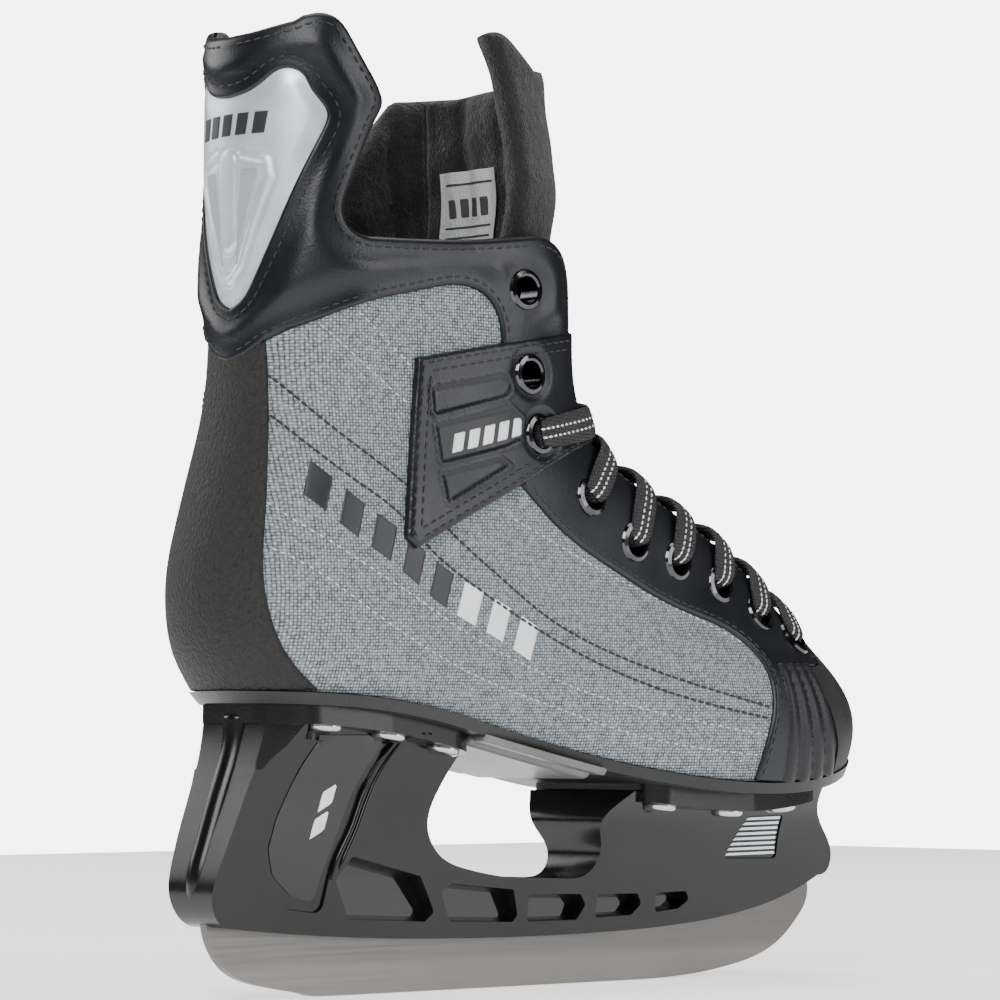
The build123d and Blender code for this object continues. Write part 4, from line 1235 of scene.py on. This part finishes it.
# ------------------------------------------------------- holder, sole, hardware
def node_tree_of(name):
    """Search tree over a CAD node's surface, in millimetres."""
    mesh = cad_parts[name].data
    return BVHTree.FromPolygons([tuple(v.co / MM) for v in mesh.vertices],
        [tuple(p.vertices) for p in mesh.polygons])


HOLDER_TREE = node_tree_of("blade_holder")


def on_holder(x, z, hand):
    """Point and normal on the holder's side at a spot in side view."""
    hit, normal, _, _ = HOLDER_TREE.ray_cast(Vector((x, hand * 90, z)), Vector((0, -hand, 0)))
    if hit is None:
        raise ValueError(f"no holder at {x}, {z}")
    normal = np.array(normal)
    return np.array(hit), normal if normal[1] * hand > 0 else -normal


SHARP_EDGE = math.radians(40)


def inlay(name, outline, hand, lift, sink, finish, spacing=2.0, bend=False):
    """Thin moulded piece on the holder's side, from its outline in side view."""
    edge = along(list(outline) + [outline[0]], spacing, bend)[:-1]
    edge = sort_ccw(edge)
    low, high = edge.min(0), edge.max(0)
    grid = np.array([(x, z) for x in np.arange(low[0], high[0], spacing)
        for z in np.arange(low[1], high[1], spacing)])
    inner = thinned([tuple(p) for p in grid[inside(grid, edge)]], [tuple(p) for p in edge], spacing * 0.6)
    loops = [(i, (i + 1) % len(edge)) for i in range(len(edge))]
    result = delaunay_2d_cdt([Vector(p) for p in edge] + [Vector(p) for p in inner], loops, [], 1, 1e-5)
    flat = np.array([tuple(v) for v in result[0]])
    triangles = [tuple(f) for f in result[2]]
    seats = [on_holder(x, z, hand) for x, z in flat]
    top = [p + n * lift for p, n in seats]
    bottom = [p - n * sink for p, n in seats]
    count = len(flat)
    faces = []
    for a, b, c in triangles:
        turn = np.cross(flat[b] - flat[a], flat[c] - flat[a])
        a, b, c = (a, b, c) if turn * -hand > 0 else (a, c, b)
        faces += [(a, b, c), (c + count, b + count, a + count)]
    directed = {(f[i], f[(i + 1) % 3]) for f in faces[::2] for i in range(3)}
    faces += [(a + count, b + count, b, a) for a, b in directed if (b, a) not in directed]
    obj = new_object(name, top + bottom, faces, *finish)
    obj.data.set_sharp_from_angle(angle=SHARP_EDGE)
    return bodied(obj)


def rod(name, points, radii, finish, sides=14):
    """Round rod along points, with its radius at each and flat closed ends."""
    dense = along(np.column_stack([np.array(points, float), np.array(radii, float)]), 1.2)
    centre, radius = dense[:, :3], dense[:, 3]
    tangent = np.gradient(centre, axis=0)
    tangent /= np.linalg.norm(tangent, axis=1)[:, None]
    across = np.cross(tangent, np.array([0, 1.0, 0.02]))
    across /= np.linalg.norm(across, axis=1)[:, None]
    other = np.cross(tangent, across)
    vertices, faces = [], []
    for i in range(len(centre)):
        for k in range(sides):
            a = 2 * math.pi * k / sides
            vertices.append(centre[i] + radius[i] * (math.cos(a) * across[i] + math.sin(a) * other[i]))
    for i in range(len(centre) - 1):
        for k in range(sides):
            a, b = i * sides + k, i * sides + (k + 1) % sides
            faces.append((a, b, b + sides, a + sides))
    last = (len(centre) - 1) * sides
    faces += [tuple(reversed(range(sides))), tuple(range(last, last + sides))]
    return bodied(new_object(name, vertices, faces, *finish))


PANEL_INLAY = [(-86.0, 73.5), (-92.5, 62), (-98.6, 50.5), (-100.9, 42), (-98.6, 34.5), (-90.5, 28.4),
    (-83.0, 27),
               (-81.2, 34.5), (-76.6, 46), (-72.2, 56.5), (-61.8, 73.5)]
PANEL_RIBS = [[(-58, 73.5), (-68, 57), (-72.5, 46), (-76.5, 38), (-77.5, 33)],
    [(-55.8, 73.5), (-66, 56.5), (-70.7, 45.5), (-74.4, 37.5), (-75.2, 34)]]
POCKETS = [
    [(-70.2, 37.5), (-46.5, 32.0), (-40.5, 23.6), (-42, 21.6), (-68.9, 22.9), (-74.6, 32.6)],
    [(-31.8, 29.6), (-9.4, 27.4), (-7.0, 21.2), (-8, 20.4), (-30.5, 21.2), (-34.6, 28.2)],
    [(-0.8, 25.9), (17.9, 25.3), (19.9, 23.0), (17.6, 20.2), (-0.6, 20.2)],
    [(26.7, 25.2), (41.4, 25.0), (43.0, 23), (40.0, 20.9), (26.7, 20.6)],
    [(50.5, 25.0), (61.6, 25.3), (63.0, 23.7), (59.6, 22.3), (51.2, 21.5)],
]
STRIPES = 8
MARK = [[(-84, 52), (-79, 54.5), (-77.5, 60), (-82.5, 57.5)],
    [(-86.5, 44.5), (-81.5, 47), (-80, 52.5), (-85, 50)]]
TAIL_BEAD = [(-103.4, 79), (-103.6, 73.5), (-108.6, 57), (-114.6, 40), (-116.4, 32), (-114, 26),
    (-109.5, 23.5)]
for name, hand in SIDES.items():
    inlay(f"holder_panel_{name}", PANEL_INLAY, hand, 0.25, 0.4, (GLOSSY, "black_plastic"), 2.5)
    for index, pocket in enumerate(POCKETS):
        inlay(f"holder_pocket_{name}_{index + 1}", pocket, hand, 0.3, 0.3, (GLOSSY, "black_plastic"), 2.0)
    for index, rib in enumerate(PANEL_RIBS):
        seats = [on_holder(x, z, hand) for x, z in along(rib, 3.0)]
        rod(f"holder_rib_{name}_{index + 1}", [p for p, n in seats], [0.75] * len(seats),
            (PLASTIC, "black_plastic"), 10)
    for index in range(STRIPES):
        z = 36.9 + index * 1.55
        left, right = 76.9 + index * 0.75, 98.6 - index * 0.25
        bar = [(left, z), (right, z + 0.2), (right - 0.15, z + 1.0), (left + 0.5, z + 0.7)]
        inlay(f"holder_stripe_{name}_{index + 1}", bar, hand, 0.35, 0.3, (SILVER, "silver_plastic"), 1.2)
    for index, bar in enumerate(MARK):
        inlay(f"holder_mark_{name}_{index + 1}", bar, hand, 0.4, 0.3, (WHITE_PRINT, "label"), 1.5)
rod("holder_tail_bead", [(x + 1.0, 0, z) for x, z in TAIL_BEAD], [4.6, 4.6, 4.6, 4.6, 4.6, 4.4, 3.6],
    (PLASTIC, "black_plastic"), 20)

SOLE_LINE = [
    (-135, 83.5), (-112, 82.5), (-90, 81.5), (-70, 79.5), (-50, 76), (-30, 71.5), (-10, 67),
    (10, 62.8), (30, 59.2), (50, 56.8), (70, 56), (90, 57.5), (110, 61.5), (140, 69),
]
ARCH_FROM, ARCH_TO, ARCH_HALF = -38.0, 7.0, 31.0


def sole_height(x):
    """Height of the sole's underside at x."""
    line = along(SOLE_LINE, 1.0)
    return np.interp(x, line[:, 0], line[:, 1])


def arch_plate():
    """Pale moulded underside between the flanges, with a groove inside its rim on both sides."""
    xs, ys = np.linspace(ARCH_FROM, ARCH_TO, 46), np.linspace(-1, 1, 61)
    vertices = []
    for low in (True, False):
        for x in xs:
            half = ARCH_HALF + 2.0 * (x - ARCH_FROM) / (ARCH_TO - ARCH_FROM)
            for y in ys:
                edge = (1 - abs(y)) * half
                drop = 1.6 * rounded(edge / 1.4) + 1.1 * ease((edge - 7.5) / 2.0) - 0.9 * math.exp(
                    -((edge - 6.6) / 0.8) ** 2)
                vertices.append((x, y * half, sole_height(x) - (float(drop) if low else -0.4)))
    rows, columns = len(xs), len(ys)
    count = rows * columns
    faces = []
    for i in range(rows - 1):
        for j in range(columns - 1):
            a = i * columns + j
            faces.append((a, a + 1, a + columns + 1, a + columns))
            faces.append((a + count, a + columns + count, a + columns + 1 + count, a + 1 + count))
    rim = [j for j in range(columns)] + [i * columns + columns - 1 for i in range(1, rows)]
    rim += [(rows - 1) * columns + j for j in range(columns - 2, -1, -1)] + [i * columns
        for i in range(rows - 2, 0, -1)]
    faces += [(a, a + count, b + count, b) for a, b in zip(rim, rim[1:] + rim[:1])]
    return bodied(new_object("arch_plate", vertices, faces, ARCH_GREY, "outsole_rubber"))


arch_plate()

CAD_FINISH = {
    "blade_holder": PLASTIC, "runner": STEEL, "heel_rivets": NICKEL, "toe_rivets": NICKEL,
    "heel_rivet_washers": NICKEL, "toe_rivet_washers": NICKEL, "eyelets_lateral": BLACK_NICKEL,
    "eyelets_medial": BLACK_NICKEL, "outsole": SOLE_PLASTIC, "toe_cap": TOE_PLASTIC, "vamp": VAMP_NYLON,
    "insole_board": BOARD, "footbed": FELT, "arch_shank": STEEL, "heel_stiffener": BOARD, "ankle_pads": FOAM,
    "aglets": AGLET,
}
for name, finish in CAD_FINISH.items():
    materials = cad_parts[name].data.materials
    materials.clear()
    materials.append(finish)

# ------------------------------------------------------------- camera and light
CAMERA_TURN, CAMERA_RISE = math.radians(-42), math.radians(-3.13)
CAMERA_AWAY, CAMERA_LENS = 1.25, 152.9
TARGET = Vector((-0.005, 0, 0.1425))


def aimed(obj, place, target):
    obj.location = place
    obj.rotation_euler = (target - place).to_track_quat("-Z", "Y").to_euler()
    bpy.context.scene.collection.objects.link(obj)


camera = bpy.data.objects.new("camera", bpy.data.cameras.new("camera"))
camera.data.lens = CAMERA_LENS
camera.data.clip_end = 50
away = Vector((
    math.sin(CAMERA_TURN) * math.cos(CAMERA_RISE), -math.cos(CAMERA_TURN) * math.cos(CAMERA_RISE),
    math.sin(CAMERA_RISE),
))
aimed(camera, TARGET + away * CAMERA_AWAY, TARGET)
bpy.context.scene.camera = camera


def softbox(name, place, size, power):
    light = bpy.data.lights.new(name, "AREA")
    light.shape = "RECTANGLE"
    light.size, light.size_y = size
    light.energy = power
    aimed(bpy.data.objects.new(name, light), Vector(place), TARGET)


softbox("key_light", (-1.5, -0.9, 1.3), (0.9, 1.2), 40)
softbox("fill_light", (0.9, -1.7, 0.7), (0.8, 1.4), 20)
softbox("top_light", (0.3, 0.4, 1.9), (1.4, 1.4), 24)
softbox("back_light", (-0.6, 1.8, 1.0), (1.4, 1.0), 16)

world = bpy.data.worlds.new("studio")
world.use_nodes = True
WORLD_COLOUR, WORLD_SEEN, WORLD_LIT = (1.0, 1.0, 1.0), 6.0, 0.06
backdrop = world.node_tree.nodes["Background"]
backdrop.inputs[0].default_value = (*WORLD_COLOUR, 1)
seen = node(world.node_tree, "ShaderNodeLightPath").outputs["Is Camera Ray"]
strength = node(world.node_tree, "ShaderNodeMapRange", i0=seen, i1=0.0, i2=1.0, i3=WORLD_LIT, i4=WORLD_SEEN)
world.node_tree.links.new(strength.outputs[0], backdrop.inputs[1])
bpy.context.scene.world = world

FLOOR_SIZE = 2.4
floor_mesh = bpy.data.meshes.new("floor")
corner = FLOOR_SIZE / 2
floor_height = CAD_BOX[0][2] - 0.0002
floor_corners = ((-corner, -corner), (corner, -corner), (corner, corner), (-corner, corner))
floor_mesh.from_pydata([(x, y, floor_height) for x, y in floor_corners], [], [(0, 1, 2, 3)])
floor = bpy.data.objects.new("floor", floor_mesh)
bpy.context.scene.collection.objects.link(floor)
floor_material, floor_tree, floor_shader = start_material("pale_floor", (0.86, 0.86, 0.86), 0.7)
floor_tree.links.new(
    mixed(floor_tree, noise(floor_tree, 0.3), (0.86, 0.86, 0.86), (0.88, 0.88, 0.88)),
    floor_shader.inputs["Base Color"])
floor_shader.inputs["Emission Color"].default_value = (1, 1, 1, 1)
floor_shader.inputs["Emission Strength"].default_value = 1.1
floor_mesh.materials.append(floor_material)
